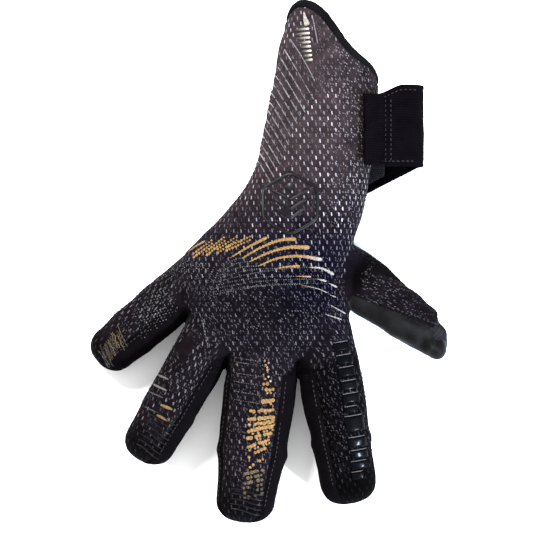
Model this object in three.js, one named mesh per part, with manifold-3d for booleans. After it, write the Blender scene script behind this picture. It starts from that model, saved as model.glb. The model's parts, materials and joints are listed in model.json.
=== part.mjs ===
// Right-hand goalkeeper glove, filled out as if worn and lying palm down.
// Millimetres, +Z up. The back of the hand faces +Z, the fingers point to -Y,
// the thumb is on the +X side and the cuff opens towards +Y.
import * as THREE from 'three';
import { mergeVertices } from 'three/addons/utils/BufferGeometryUtils.js';
import Module from 'manifold-3d';

const wasm = await Module();
wasm.setup();

// ---- Driving dimensions -------------------------------------------------

const WALL = 3.4;             // foam, fabric and lining together
const GAP = 0.35;             // clearance between neighbouring pieces
const FAR = 400;              // longer than any piece, for cutting blocks
const DEG = Math.PI / 180;

const WRIST_Y = 51.5;         // the wrist bends here
const WRIST_Z = 24;
const WRIST_BEND = 20;        // degrees, both ways
const SEAM_Z = 25;            // side seam between the back and the palm

// Hand and cuff outline from the knuckles to the cuff mouth. Each station has
// its centre across the hand (x), half width (w), centre height (z) and half height (h).
const HAND = [
  { y: 57, x: 23.5, w: 31.6, z: 24, h: 22.4 },
  { y: WRIST_Y, x: 21, w: 31.8, z: 24, h: 22.4 },
  { y: 35, x: 15.7, w: 36.4, z: 25.2, h: 21.8 },
  { y: 15, x: 4.2, w: 42.3, z: 26.6, h: 21 },
  { y: -8, x: -4.6, w: 47.8, z: 27, h: 20 },
  { y: -28, x: -3.4, w: 46, z: 26.6, h: 18.6 },
  { y: -44, x: -1, w: 38, z: 26, h: 16.4 },
  { y: -54, x: 2, w: 27, z: 25.4, h: 12 },
];
const CUFF = [
  { y: 160, x: 35, w: 24, z: 27, h: 22.6 },
  { y: 132, x: 32.6, w: 26.4, z: 25.6, h: 23 },
  { y: 107, x: 30.2, w: 29, z: 24.2, h: 23 },
  { y: 88, x: 28.6, w: 31, z: 23, h: 23.4 },
  { y: 69, x: 26.3, w: 32, z: 23.4, h: 23 },
  { y: WRIST_Y, x: 21, w: 31.8, z: 24, h: 22.4 },
  { y: 40, x: 17.4, w: 34.8, z: 24.8, h: 22 },
];
const HAND_SQUARENESS = 2.3;
const CUFF_SQUARENESS = 2.1;
const DIGIT_SQUARENESS = 2.5;
const HAND_SIDES = 26;        // flats round each tube
const CUFF_SIDES = 26;
const DIGIT_SIDES = 16;

// The cuff mouth is one slanted plane: longer on the back and on the little-finger side.
const MOUTH_POINT = new THREE.Vector3(33.5, 117, 24);
const MOUTH_NORMAL = new THREE.Vector3(0.6, 1, -0.72).normalize();
const BINDING_RADIUS = 2.6;
const BINDING_SIDES = 8;      // flats round the roll, and steps round the mouth
const BINDING_STEPS = 40;
const RING_TUBE = 0.5;        // tube radius of the unit ring that the roll is bent from
const RIM_PASSES = 12;        // steps that bring a point onto the slanted mouth,
const RIM_PACE = 0.8;         // each this part of the way
const LINING_ENDS = [170, 30]; // the cuff's hollow runs past both of its ends

// Each digit starts at its root hinge and runs to its tip. Half widths (w) and half
// heights (h) are at the root, at the middle hinge and where the round tip begins.
const DIGITS = [
  { name: 'pinky', root: [-58.1, -21.8, 20.5], tip: [-96.4, -56.8, 7.2], middle: 0.47,
    w: [14.3, 14, 13], h: [13.8, 13, 12], rootBend: 50, middleBend: 60, gussets: true },
  { name: 'ring', root: [-40.3, -51.5, 24], tip: [-72.2, -112.3, 7.6], middle: 0.5,
    w: [15.4, 14.9, 14.2], h: [15, 14, 12.4], rootBend: 50, middleBend: 60, gussets: true },
  { name: 'middle', root: [-5.7, -62.3, 25], tip: [-14.6, -145.8, 8.9], middle: 0.5,
    w: [19.6, 18.8, 16.2], h: [15.8, 14.8, 12.8], rootBend: 50, middleBend: 60, gussets: true },
  { name: 'index', root: [32.1, -61.2, 24], tip: [43.7, -136.4, 8.1], middle: 0.48,
    w: [17.2, 16.3, 15.2], h: [15.2, 14.2, 12.4], rootBend: 50, middleBend: 60, gussets: true },
  { name: 'thumb', root: [50.6, -11.8, 20.5], tip: [98.2, -45.6, 9.4], middle: 0.48,
    w: [15.4, 13.4, 10.6], h: [14.4, 13.2, 12.2], rootBend: 35, middleBend: 50, gussets: false },
];
const DOME_TURNS = [32, 58, 80]; // degrees round the quarter circle of a fingertip
const STUB_LENGTH = 34;       // how far a digit's tube runs back into the hand
const GUSSET_START = 0.6;     // part of the half width that the back panel covers
const CENTRE_DROP = 1.5;      // how late a digit's centre line drops: 1 is a straight line
const TUBE_PARTS = [0, 0.33, 0.67, 1]; // sections between a digit's root and its round tip
const SEAM_PART = 0.5;        // the proximal seam has the height of this part of the segment
const ROOT_CLEARANCE = 1.5;   // room beside a digit's root

const STRAP_Y = [53.5, 99.5]; // the strap's two long edges
const STRAP_THICKNESS = 2;
const FLAP_SLANT = 0.42;      // the flap runs back this far along Y for each millimetre in X,
const SLANT_START = 2;        // starting this far inside the fold
const BAND_STEPS = 12;        // sections along a band's curve
const BAND_ROUNDING = [-50, 0, 50]; // degrees round the flap's folded edge
const STRAP_FOLD = [84.2, 22.5];
// Centre lines of the strap in X and Z: from the cuff out to the fold, and back under it.
const STRAP_ANCHOR = [[52.5, 42.6], [58.6, 37], [62.4, 30.6], [68, 29.8], [76, 29.2], [81.6, 26.6], STRAP_FOLD];
const STRAP_FLAP = [STRAP_FOLD, [82.2, 17.4], [77, 14], [69, 11.2], [62, 7.9], [55, 4.1], [49.5, 2]];
const HOOK_TAPE = [[62.4, 10.3], [58, 8], [53.8, 5.7]];
const HOOK_TAPE_THICKNESS = 1.2;
const TAPE_MARGIN = 5;        // bare strap on both sides of the hook tape
const LOOP_TAPE_THICKNESS = 0.9;
const LOOP_TAPE = { x: 50, y: -4, z: -4, wide: 16, margin: 6, tall: 40, bend: 4 }; // patch on the cuff
const CUFF_SEAM_DROP = 1;     // the cuff's side seam lies this far below the hand's

const BADGE_CENTRE = [10, 32];
const BADGE_RADIUS = 18;
const BADGE_HEIGHT = 1.8;
const GRIP_HEIGHT = 2;
const GRIP_START = 0.55;      // part of the half width where the grip strip starts
const GRIP_RISE = 3;          // its lower edge, above the digit's centre line
const GRIP_ROOT = 4;          // bare length at the root, and before and after the middle hinge
const GRIP_MIDDLE = 1;

// ---- Materials ------------------------------------------------------------

function paint(color, roughness, metalness = 0) {
  return new THREE.MeshStandardMaterial({ color, roughness, metalness });
}

const MATERIALS = {
  mesh: paint('#26232b', 0.85),
  gusset: paint('#121216', 0.9),
  latex: paint('#1b1b1f', 0.7),
  cuff: paint('#2c2630', 0.85),
  binding: paint('#0d0d10', 0.8),
  strap: paint('#101014', 0.75),
  tape: paint('#18181b', 0.95),
  silicone: paint('#0b0c10', 0.25),
  badge: paint('#1d1a22', 0.4),
  gold: paint('#a5813c', 0.35, 0.4),
};

// ---- Solids and lofts -----------------------------------------------------

function solid(geometry) {
  const bare = geometry.index ? geometry : mergeVertices(geometry);
  bare.deleteAttribute('normal');
  bare.deleteAttribute('uv');
  const merged = mergeVertices(bare, 1e-4);
  return new wasm.Manifold(new wasm.Mesh({
    numProp: 3,
    vertProperties: new Float32Array(merged.attributes.position.array),
    triVerts: new Uint32Array(merged.index.array),
  }));
}

function geometryOf(manifold) {
  const mesh = manifold.getMesh();
  const geometry = new THREE.BufferGeometry();
  geometry.setAttribute('position', new THREE.BufferAttribute(mesh.vertProperties, 3));
  geometry.setIndex(new THREE.BufferAttribute(mesh.triVerts, 1));
  geometry.computeVertexNormals();
  return geometry;
}

// A closed skin through upright sections. Each section has a centre, a half width along
// `across` and a half height along +Z; `squareness` 2 is an ellipse, more is boxier.
function loft(sections, across, around, squareness) {
  const last = sections.length - 1;
  const geometry = new THREE.CylinderGeometry(1, 1, 1, around, last, false);
  const position = geometry.attributes.position;
  const bend = (value) => Math.sign(value) * Math.abs(value) ** (2 / squareness);
  for (let i = 0; i < position.count; i++) {
    const section = sections[Math.round((0.5 - position.getY(i)) * last)];
    const onAxis = Math.hypot(position.getX(i), position.getZ(i)) < 0.5;
    const point = section.centre.clone();
    if (!onAxis) {
      point.addScaledVector(across, bend(position.getX(i)) * section.w);
      point.z += bend(position.getZ(i)) * section.h;
    }
    position.setXYZ(i, point.x, point.y, point.z);
  }
  return solid(geometry);
}

// The tube through a list of stations along -Y, moved inwards by `inset`.
function tubeAlongY(stations, inset, around, squareness) {
  const sections = stations.map(({ y, x, w, z, h }) => (
    { centre: new THREE.Vector3(x, y, z), w: w - inset, h: h - inset }));
  return loft(sections, new THREE.Vector3(1, 0, 0), around, squareness);
}

// A block that fills everything on the side of a plane that its normal points to.
function beyond(point, normal) {
  const block = new THREE.BoxGeometry(FAR, FAR, FAR);
  block.translate(0, 0, FAR / 2);
  const turn = new THREE.Quaternion().setFromUnitVectors(new THREE.Vector3(0, 0, 1), normal);
  block.applyQuaternion(turn);
  block.translate(point.x, point.y, point.z);
  return solid(block);
}

// An upright block, `length` along a level direction and `width` across it.
function slab(origin, direction, start, end, left, right, bottom, top) {
  const block = new THREE.BoxGeometry(end - start, right - left, top - bottom);
  block.translate((start + end) / 2, (left + right) / 2, (bottom + top) / 2);
  block.rotateZ(Math.atan2(direction.y, direction.x));
  block.translate(origin.x, origin.y, 0);
  return solid(block);
}

const group = new THREE.Group();
group.name = 'goalkeeper_glove_right';

function add(name, manifold, material) {
  const mesh = new THREE.Mesh(geometryOf(manifold), material.clone());
  mesh.name = name;
  group.add(mesh);
}

// ---- Digits ----------------------------------------------------------------

function mix(values, part) {
  const scaled = part * (values.length - 1);
  const low = Math.min(Math.floor(scaled), values.length - 2);
  return values[low] + (values[low + 1] - values[low]) * (scaled - low);
}

class Digit {
  constructor(shape) {
    Object.assign(this, shape);
    this.origin = new THREE.Vector3(...shape.root);
    const end = new THREE.Vector3(...shape.tip);
    const run = end.clone().sub(this.origin);
    this.drop = run.z;
    run.z = 0;
    this.length = run.length();
    this.along = run.normalize();
    this.across = new THREE.Vector3(0, 0, 1).cross(this.along);
    this.middleAt = this.length * shape.middle;
    this.domeAt = this.length - this.w[2];
  }

  // The centre line drops gently at first and more towards the tip.
  height(distance) {
    const part = Math.max(0, Math.min(1, distance / this.length));
    return this.origin.z + this.drop * part ** CENTRE_DROP;
  }

  point(distance) {
    const point = this.origin.clone().addScaledVector(this.along, distance);
    point.z = this.height(distance);
    return point;
  }

  section(distance, inset, shrink = 1) {
    const part = Math.max(0, Math.min(1, distance / this.domeAt));
    return {
      centre: this.point(distance),
      w: (mix(this.w, part) - inset) * shrink,
      h: (mix(this.h, part) - inset) * shrink,
    };
  }

  // The whole tube with its round tip, moved inwards by `inset`.
  tube(inset) {
    const sections = [this.section(-STUB_LENGTH - inset, inset)];
    for (const part of TUBE_PARTS) sections.push(this.section(this.domeAt * part, inset));
    const radius = this.w[2] - inset;
    for (const turn of DOME_TURNS) {
      const reach = this.domeAt + radius * Math.sin(turn * DEG);
      sections.push(this.section(reach, inset, Math.cos(turn * DEG)));
    }
    return loft(sections, this.across, DIGIT_SIDES, DIGIT_SQUARENESS);
  }

  // Everything past a hinge, with room underneath for the digit to bend by `bend` degrees.
  past(distance, bend) {
    const hinge = this.point(distance);
    const start = hinge.clone().addScaledVector(this.along, GAP);
    const tilted = this.along.clone().multiplyScalar(Math.cos(bend * DEG));
    tilted.z = Math.sin(bend * DEG);
    const cut = hinge.clone().addScaledVector(tilted, GAP);
    return beyond(start, this.along).intersect(beyond(cut, tilted));
  }

  before(distance) {
    return beyond(this.point(distance), this.along.clone().negate());
  }

  // The strip between two places across the digit.
  strip(left, right, bottom = -FAR / 2, top = FAR / 2) {
    return slab(this.origin, this.along, -FAR / 2, FAR / 2, left, right, bottom, top);
  }
}

const digits = DIGITS.map((shape) => new Digit(shape));

function panels(digit, segment, shell, seamHeight) {
  const edge = digit.w[1] * GUSSET_START;
  const tag = `${digit.name}_${segment}`;
  const side = digit.gussets ? edge : FAR / 2;
  const upper = digit.strip(-side, side, seamHeight + GAP / 2);
  const lower = digit.strip(-side, side, -FAR / 2, seamHeight - GAP / 2);
  add(`${tag}_back`, shell.intersect(upper), MATERIALS.mesh);
  add(`${tag}_palm`, shell.intersect(lower), MATERIALS.latex);
  if (digit.gussets) {
    const inner = digit.strip(edge + GAP, FAR / 2);
    const outer = digit.strip(-FAR / 2, -edge - GAP);
    add(`${tag}_thumb_side`, shell.intersect(inner), MATERIALS.gusset);
    add(`${tag}_little_side`, shell.intersect(outer), MATERIALS.gusset);
  }
}

for (const digit of digits) {
  const shell = digit.tube(0).subtract(digit.tube(WALL));
  const proximal = shell.intersect(digit.past(0, digit.rootBend)).intersect(digit.before(digit.middleAt));
  const distal = shell.intersect(digit.past(digit.middleAt, digit.middleBend));
  panels(digit, 'proximal', proximal, digit.height(digit.middleAt * SEAM_PART));
  panels(digit, 'distal', distal, digit.height(digit.domeAt));
}

// ---- Hand --------------------------------------------------------------------

function stub(digit, inset) {
  const open = inset > 0 ? STUB_LENGTH : 0;
  return digit.tube(inset).intersect(digit.before(open));
}

function handSolid(inset) {
  let body = tubeAlongY(HAND, inset, HAND_SIDES, HAND_SQUARENESS);
  for (const digit of digits) body = body.add(stub(digit, inset));
  return body;
}

const wristFront = beyond(new THREE.Vector3(0, WRIST_Y, 0), new THREE.Vector3(0, -1, 0));
let hand = handSolid(0).subtract(handSolid(WALL)).intersect(wristFront);
for (const digit of digits) {
  const reach = digit.w[0] + ROOT_CLEARANCE;
  hand = hand.subtract(slab(digit.origin, digit.along, 0, FAR, -reach, reach, -FAR / 2, FAR / 2));
}
const up = new THREE.Vector3(0, 0, 1);
const down = new THREE.Vector3(0, 0, -1);
const seamAt = (offset) => new THREE.Vector3(0, 0, SEAM_Z + offset);
add('hand_back', hand.intersect(beyond(seamAt(GAP / 2), up)), MATERIALS.mesh);
add('hand_palm', hand.intersect(beyond(seamAt(-GAP / 2), down)), MATERIALS.latex);

// A six-sided emblem that follows the curve of the back.
function badge() {
  const prism = new THREE.CylinderGeometry(BADGE_RADIUS, BADGE_RADIUS, FAR, 6);
  prism.rotateX(Math.PI / 2);
  prism.translate(BADGE_CENTRE[0], BADGE_CENTRE[1], FAR / 2 + SEAM_Z);
  const skin = tubeAlongY(HAND, -GAP - BADGE_HEIGHT, HAND_SIDES, HAND_SQUARENESS);
  return skin.subtract(tubeAlongY(HAND, -GAP, HAND_SIDES, HAND_SQUARENESS)).intersect(solid(prism));
}
add('back_emblem', badge(), MATERIALS.badge);

// ---- Grip blocks on the thumb side of the index finger ---------------------------

function gripStrip(digit, cut) {
  const skin = digit.tube(-GAP - GRIP_HEIGHT).subtract(digit.tube(-GAP));
  const band = digit.strip(digit.w[2] * GRIP_START, FAR / 2, digit.height(digit.domeAt) + GRIP_RISE);
  return skin.intersect(band).intersect(cut);
}

const index = digits.find((digit) => digit.name === 'index');
const gripProximal = index.past(GRIP_ROOT, index.rootBend)
  .intersect(index.before(index.middleAt - GRIP_MIDDLE));
const gripDistal = index.past(index.middleAt + GRIP_MIDDLE, index.middleBend)
  .intersect(index.before(index.domeAt));
add('index_grip_proximal', gripStrip(index, gripProximal), MATERIALS.silicone);
add('index_grip_distal', gripStrip(index, gripDistal), MATERIALS.silicone);

// ---- Cuff ---------------------------------------------------------------------

function bentBack(bend) {
  const normal = new THREE.Vector3(0, Math.cos(bend * DEG), Math.sin(bend * DEG));
  const point = new THREE.Vector3(0, WRIST_Y, WRIST_Z).addScaledVector(normal, GAP);
  return beyond(point, normal);
}

const floor = beyond(new THREE.Vector3(0, 0, 0), up);
const mouth = beyond(MOUTH_POINT, MOUTH_NORMAL.clone().negate());
const cuff = tubeAlongY(CUFF, 0, CUFF_SIDES, CUFF_SQUARENESS)
  .subtract(tubeAlongY([{ ...CUFF[0], y: LINING_ENDS[0] }, ...CUFF.slice(1, -1), { ...CUFF.at(-1), y: LINING_ENDS[1] }],
    WALL, CUFF_SIDES, CUFF_SQUARENESS))
  .intersect(mouth).intersect(floor)
  .intersect(bentBack(WRIST_BEND)).intersect(bentBack(-WRIST_BEND));
add('cuff_back', cuff.intersect(beyond(seamAt(GAP / 2 - CUFF_SEAM_DROP), up)), MATERIALS.cuff);
add('cuff_palm', cuff.intersect(beyond(seamAt(-GAP / 2 - CUFF_SEAM_DROP), down)), MATERIALS.cuff);

// A point of the cuff wall's middle, in the direction `turn`, where it crosses a plane that
// lies `clear` beyond the mouth.
function rimPoint(turn, clear) {
  let y = MOUTH_POINT.y;
  let point;
  for (let pass = 0; pass < RIM_PASSES; pass++) {
    const place = cuffStation(y);
    point = new THREE.Vector3(place.x + (place.w - WALL / 2) * Math.cos(turn), y,
      place.z + (place.h - WALL / 2) * Math.sin(turn));
    y -= RIM_PACE * (point.clone().sub(MOUTH_POINT).dot(MOUTH_NORMAL) - clear);
  }
  return point;
}

// The rolled binding: a ring bent to run round the slanted mouth, just past the cuff's edge.
function binding() {
  const ring = new THREE.TorusGeometry(1, RING_TUBE, BINDING_SIDES, BINDING_STEPS);
  const position = ring.attributes.position;
  for (let i = 0; i < position.count; i++) {
    const turn = Math.atan2(position.getY(i), position.getX(i));
    const outward = new THREE.Vector3(Math.cos(turn), 0, Math.sin(turn));
    outward.addScaledVector(MOUTH_NORMAL, -outward.dot(MOUTH_NORMAL)).normalize();
    const radial = (Math.hypot(position.getX(i), position.getY(i)) - 1) / RING_TUBE;
    const axial = position.getZ(i) / RING_TUBE;
    const point = rimPoint(turn, BINDING_RADIUS + GAP)
      .addScaledVector(outward, radial * BINDING_RADIUS)
      .addScaledVector(MOUTH_NORMAL, -axial * BINDING_RADIUS);
    position.setXYZ(i, point.x, point.y, point.z);
  }
  return solid(ring);
}

function cuffStation(y) {
  const above = CUFF.findLast((station) => station.y >= y);
  const below = CUFF.find((station) => station.y < y);
  const part = (above.y - y) / (above.y - below.y);
  const blend = (key) => above[key] + (below[key] - above[key]) * part;
  return { x: blend('x'), w: blend('w'), z: blend('z'), h: blend('h') };
}
add('cuff_binding', binding(), MATERIALS.binding);

// ---- Wrist strap -----------------------------------------------------------------

// A band of constant thickness whose centre line lies in X and Z, extruded along Y.
function band(points, thickness, roundStart, cutEnd) {
  const curve = new THREE.SplineCurve(points.map(([x, z]) => new THREE.Vector2(x, z)));
  const left = [];
  const right = [];
  for (let i = 0; i <= BAND_STEPS; i++) {
    const part = (i / BAND_STEPS) * (1 - cutEnd);
    const point = curve.getPointAt(part);
    const side = curve.getTangentAt(part).rotateAround(new THREE.Vector2(), Math.PI / 2);
    left.push(point.clone().addScaledVector(side, thickness / 2));
    right.unshift(point.clone().addScaledVector(side, -thickness / 2));
  }
  const outline = [...left, ...right];
  if (roundStart) {
    const centre = curve.getPointAt(0);
    const back = curve.getTangentAt(0).negate();
    const side = curve.getTangentAt(0).rotateAround(new THREE.Vector2(), Math.PI / 2);
    for (const turn of BAND_ROUNDING) {
      outline.push(centre.clone()
        .addScaledVector(back, (thickness / 2) * Math.cos(turn * DEG))
        .addScaledVector(side, (thickness / 2) * Math.sin(turn * DEG)));
    }
  }
  return new THREE.Shape(outline);
}

// The flap runs back at a slant: each millimetre in from the fold moves it by `slant` along Y.
function alongStrap(shape, from, to, slant = 0) {
  const geometry = new THREE.ExtrudeGeometry(shape, { depth: to - from, bevelEnabled: false, steps: 1 });
  geometry.rotateX(Math.PI / 2);
  geometry.translate(0, to, 0);
  const position = geometry.attributes.position;
  for (let i = 0; i < position.count; i++) {
    const inward = Math.max(0, STRAP_FOLD[0] - SLANT_START - position.getX(i));
    position.setY(i, position.getY(i) - slant * inward);
  }
  return solid(geometry);
}

const anchorLength = new THREE.SplineCurve(STRAP_ANCHOR.map(([x, z]) => new THREE.Vector2(x, z))).getLength();
const anchorCut = (STRAP_THICKNESS / 2 + GAP) / anchorLength;
add('strap_anchor', alongStrap(band(STRAP_ANCHOR, STRAP_THICKNESS, false, anchorCut), ...STRAP_Y),
  MATERIALS.strap);
add('strap_flap', alongStrap(band(STRAP_FLAP, STRAP_THICKNESS, true, 0), ...STRAP_Y, FLAP_SLANT),
  MATERIALS.strap);
add('strap_hook_tape',
  alongStrap(band(HOOK_TAPE, HOOK_TAPE_THICKNESS, false, 0), STRAP_Y[0] + TAPE_MARGIN,
    STRAP_Y[1] - TAPE_MARGIN, FLAP_SLANT), MATERIALS.tape);

// The loop tape is sewn on the cuff under the thumb side, facing the hook tape.
function loopTape() {
  const { x, y, z, wide, margin, tall, bend } = LOOP_TAPE;
  const skin = tubeAlongY(CUFF, -GAP - LOOP_TAPE_THICKNESS, CUFF_SIDES, CUFF_SQUARENESS)
    .subtract(tubeAlongY(CUFF, -GAP, CUFF_SIDES, CUFF_SQUARENESS));
  const patch = new THREE.BoxGeometry(wide, STRAP_Y[1] - STRAP_Y[0] - margin, tall);
  patch.translate(x, (STRAP_Y[0] + STRAP_Y[1]) / 2 + y, z);
  return skin.intersect(solid(patch))
    .intersect(bentBack(WRIST_BEND + bend)).intersect(bentBack(-WRIST_BEND - bend));
}
add('strap_loop_tape', loopTape(), MATERIALS.tape);

export default group;
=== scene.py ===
"""Right-hand goalkeeper glove, worn shape, lying palm down: the looks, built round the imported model."""
import json
import math
import random

import bmesh
import bpy
import numpy as np
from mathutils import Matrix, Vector, noise
from mathutils.bvhtree import BVHTree
from mathutils.kdtree import KDTree


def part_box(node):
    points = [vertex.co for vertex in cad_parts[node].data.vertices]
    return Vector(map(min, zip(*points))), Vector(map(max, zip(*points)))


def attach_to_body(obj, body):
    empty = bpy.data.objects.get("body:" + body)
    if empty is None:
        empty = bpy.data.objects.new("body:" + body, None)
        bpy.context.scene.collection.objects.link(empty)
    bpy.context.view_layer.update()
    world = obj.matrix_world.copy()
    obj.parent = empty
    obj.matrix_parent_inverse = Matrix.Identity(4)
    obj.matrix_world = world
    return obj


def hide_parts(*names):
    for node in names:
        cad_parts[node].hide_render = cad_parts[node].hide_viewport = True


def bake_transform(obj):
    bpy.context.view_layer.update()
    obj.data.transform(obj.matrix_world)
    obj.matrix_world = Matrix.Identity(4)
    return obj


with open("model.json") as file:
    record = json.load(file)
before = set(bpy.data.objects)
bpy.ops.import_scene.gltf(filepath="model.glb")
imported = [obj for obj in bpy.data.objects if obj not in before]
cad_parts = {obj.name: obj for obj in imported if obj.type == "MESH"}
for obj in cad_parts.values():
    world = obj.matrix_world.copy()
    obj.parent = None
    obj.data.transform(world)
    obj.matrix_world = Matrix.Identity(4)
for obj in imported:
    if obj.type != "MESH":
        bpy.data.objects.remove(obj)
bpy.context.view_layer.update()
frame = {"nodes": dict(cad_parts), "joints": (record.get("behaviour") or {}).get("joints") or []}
joints = {joint["name"]: joint for joint in frame["joints"]}

MM = 0.001
UP = np.array([0.0, 0.0, 1.0])


def joint_at(name):
    """Where a joint is, in millimetres."""
    return np.array(joints[name]["pos_m"], float) / MM


# ---- Driving dimensions, in millimetres ----------------------------------------------------------

VOXEL = 1.25      # fineness of the glove's skin
SKIN = 2.0                          # thickness of every panel
WRIST = joint_at("wrist_bend")
WRIST_BLEND = 16                    # length over which the wrist bends
ROOT_BLEND = 14                     # length over which a digit bends at the hand
MIDDLE_BLEND = 8                    # half the length of a digit's middle bend
SEAM_Z = 24.5                       # side seam of the hand

# Hand and cuff from the cuff's end to the fingers: place along the glove, centre across it,
# half width, centre height and half height.
BODY_STATIONS = [
    (160, 34.5, 22.5, 27.4, 21.8), (135, 33.0, 24.4, 25.8, 22.4), (122, 31.2, 27.0, 25.0, 22.8),
    (107, 30.0, 28.4, 24.3, 22.8), (88, 28.9, 31.1, 23.4, 22.9), (69, 26.4, 32.0, 23.4, 22.6),
    (53.5, 23.0, 32.6, 24.0, 22.2), (40.6, 18.6, 34.8, 24.8, 21.8), (25, 10.7, 39.3, 25.8, 21.2),
    (15.4, 4.3, 42.4, 26.4, 20.8), (3.6, -2.9, 46.8, 26.8, 20.2), (-10, -5.0, 47.6, 27.0, 19.6),
    (-22, -4.2, 47.0, 26.8, 18.8), (-34, -2.4, 44.8, 26.4, 17.6), (-45, -1.4, 39.0, 26.0, 15.4),
    (-54, 1.0, 29.0, 25.6, 11.0),
]

# Each digit from 30 mm inside the hand to its round tip: distance from its root hinge, half
# width, half height. `seams` are the angles from straight up, towards the thumb's side and
# towards the little finger's side, where the back panel ends; `palm` is where the palm starts.
# The soft tip has settled sideways by `lean` and is `extra` longer than the plain CAD digit.
DIGITS = {
    "pinky": dict(
        profile=[(-30, 13.0, 13.6), (0, 14.3, 13.6), (12, 14.3, 13.2), (25, 13.8, 12.7), (38, 13.0, 11.8)],
        lean=-2.0, extra=1.6, tip=0.95, seams=(10, 84), palm=124),
    "ring": dict(
        profile=[(-30, 14.0, 15.0), (0, 15.6, 14.8), (20, 15.0, 14.2), (36, 14.9, 13.6), (52, 14.2, 12.3)],
        lean=-2.3, extra=1.0, tip=0.85, seams=(27, 84), palm=124),
    "middle": dict(
        profile=[(-30, 16.0, 15.8), (0, 19.7, 15.6), (26, 19.3, 15.0), (42, 18.8, 14.6), (56, 17.4, 13.8),
                 (70, 16.3, 12.6)],
        lean=-1.7, extra=1.8, tip=0.82, seams=(34, 56), palm=122),
    "index": dict(
        profile=[(-30, 15.0, 15.0), (0, 17.3, 15.0), (20, 17.2, 14.6), (32, 16.3, 14.2), (46, 15.9, 13.6),
                 (61, 15.4, 12.2)],
        lean=1.5, extra=0.6, tip=0.85, seams=(86, 28), palm=124),
    "thumb": dict(
        profile=[(-30, 15.0, 14.6), (0, 15.9, 14.2), (15, 14.6, 13.6), (30, 13.2, 12.8), (42, 12.0, 12.0),
                 (50, 10.4, 11.0)],
        lean=-1.2, extra=1.6, tip=1.0, seams=(60, 60), palm=100),
}
ORDER = list(DIGITS)
BODY_POWER = 2.25                   # 2 is an ellipse, more is boxier
DIGIT_POWER = 2.45
TIP_POWER = 2.3
SAG = 1.5                           # a digit's centre line sinks with this power of the distance
CLEAR = 0.4                         # the skin's tip stands this far off the CAD tip
ROUND = 72                          # points round each loft


# ---- Helpers for objects and meshes --------------------------------------------------------------

def linked(name, data):
    """A new object in the scene."""
    obj = bpy.data.objects.new(name, data)
    bpy.context.scene.collection.objects.link(obj)
    return obj


def read(items, name, width=1, kind=float):
    """One property of all of a mesh's items, in rows where it has more than one value."""
    values = np.empty(len(items) * width, kind)
    items.foreach_get(name, values)
    return values.reshape(-1, width) if width > 1 else values


def turn_faces_outward(mesh):
    work = bmesh.new()
    work.from_mesh(mesh)
    bmesh.ops.recalc_face_normals(work, faces=work.faces)
    work.to_mesh(mesh)
    work.free()


def tube_faces(count, around, closed=False):
    """Faces of a tube through rings of points, joined to itself if closed and shut at its ends if not."""
    faces = []
    for k in range(count if closed else count - 1):
        first, second = k * around, (k + 1) % count * around
        for i in range(around):
            j = (i + 1) % around
            faces.append((first + i, first + j, second + j, second + i))
    if not closed:
        faces.append(tuple(range(around))[::-1])
        faces.append(tuple((count - 1) * around + i for i in range(around)))
    return faces


def unit_rows(vectors):
    return vectors / np.linalg.norm(vectors, axis=1)[:, None]


def distance_along(points):
    """The distance to each point of a line, along the line."""
    return np.concatenate([[0], np.cumsum(np.linalg.norm(np.diff(points, axis=0), axis=1))])


def superellipse(turns, power):
    """Places on a superellipse with half axes of 1: across and up, at turns from straight up."""
    side, lift = (np.sign(wave) * np.abs(wave) ** (2 / power) for wave in (np.sin(turns), np.cos(turns)))
    return side, lift


def node_points(node):
    """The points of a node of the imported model, in millimetres."""
    return np.array([v.co for v in frame["nodes"][node].data.vertices], float) / MM


# ---- Camera, floor and light ---------------------------------------------------------------------

def look_at(obj, target):
    obj.rotation_euler = (Vector(target) - obj.location).to_track_quat("-Z", "Y").to_euler()


def make_camera():
    data = bpy.data.cameras.new("camera")
    camera = linked("camera", data)
    bpy.context.scene.camera = camera
    distance, height_seen, aim = 1.25, 0.2985, Vector((-0.0031, -0.0022, 0.024))
    tilt = math.radians(89.0)
    camera.location = aim + distance * Vector((0, -math.cos(tilt), math.sin(tilt)))
    look_at(camera, aim)
    data.sensor_width = 36
    data.lens = data.sensor_width * distance / height_seen
    data.clip_start, data.clip_end = 0.01, 20


def make_floor():
    mesh = bpy.data.meshes.new("floor")
    half = 3.0
    corners = [(-half, -half, 0), (half, -half, 0), (half, half, 0), (-half, half, 0)]
    mesh.from_pydata(corners, [], [(0, 1, 2, 3)])
    floor = linked("floor", mesh)
    material = bpy.data.materials.new("floor_paper")
    material.use_nodes = True
    shader = material.node_tree.nodes["Principled BSDF"]
    shader.inputs["Base Color"].default_value = (0.93, 0.93, 0.93, 1)
    shader.inputs["Roughness"].default_value = 0.9
    mesh.materials.append(material)


def area_light(name, place, size, power, colour=(1, 1, 1)):
    data = bpy.data.lights.new(name, "AREA")
    data.shape, data.size, data.energy, data.color = "DISK", size, power, colour
    light = linked(name, data)
    light.location = place
    look_at(light, (0, 0, 0.02))


def make_light():
    world = bpy.data.worlds.new("studio")
    bpy.context.scene.world = world
    world.use_nodes = True
    background = world.node_tree.nodes["Background"]
    background.inputs["Color"].default_value = (1, 1, 1, 1)
    background.inputs["Strength"].default_value = 1.5
    area_light("key", (-0.5, 0.75, 0.9), 0.3, 40)
    area_light("fill", (0.9, -0.3, 0.8), 0.8, 6, (0.86, 0.9, 1.0))
    bpy.context.scene.view_settings.view_transform = "Standard"


make_camera()
make_floor()
make_light()


# ---- The digits' own coordinates -----------------------------------------------------------------

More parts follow.
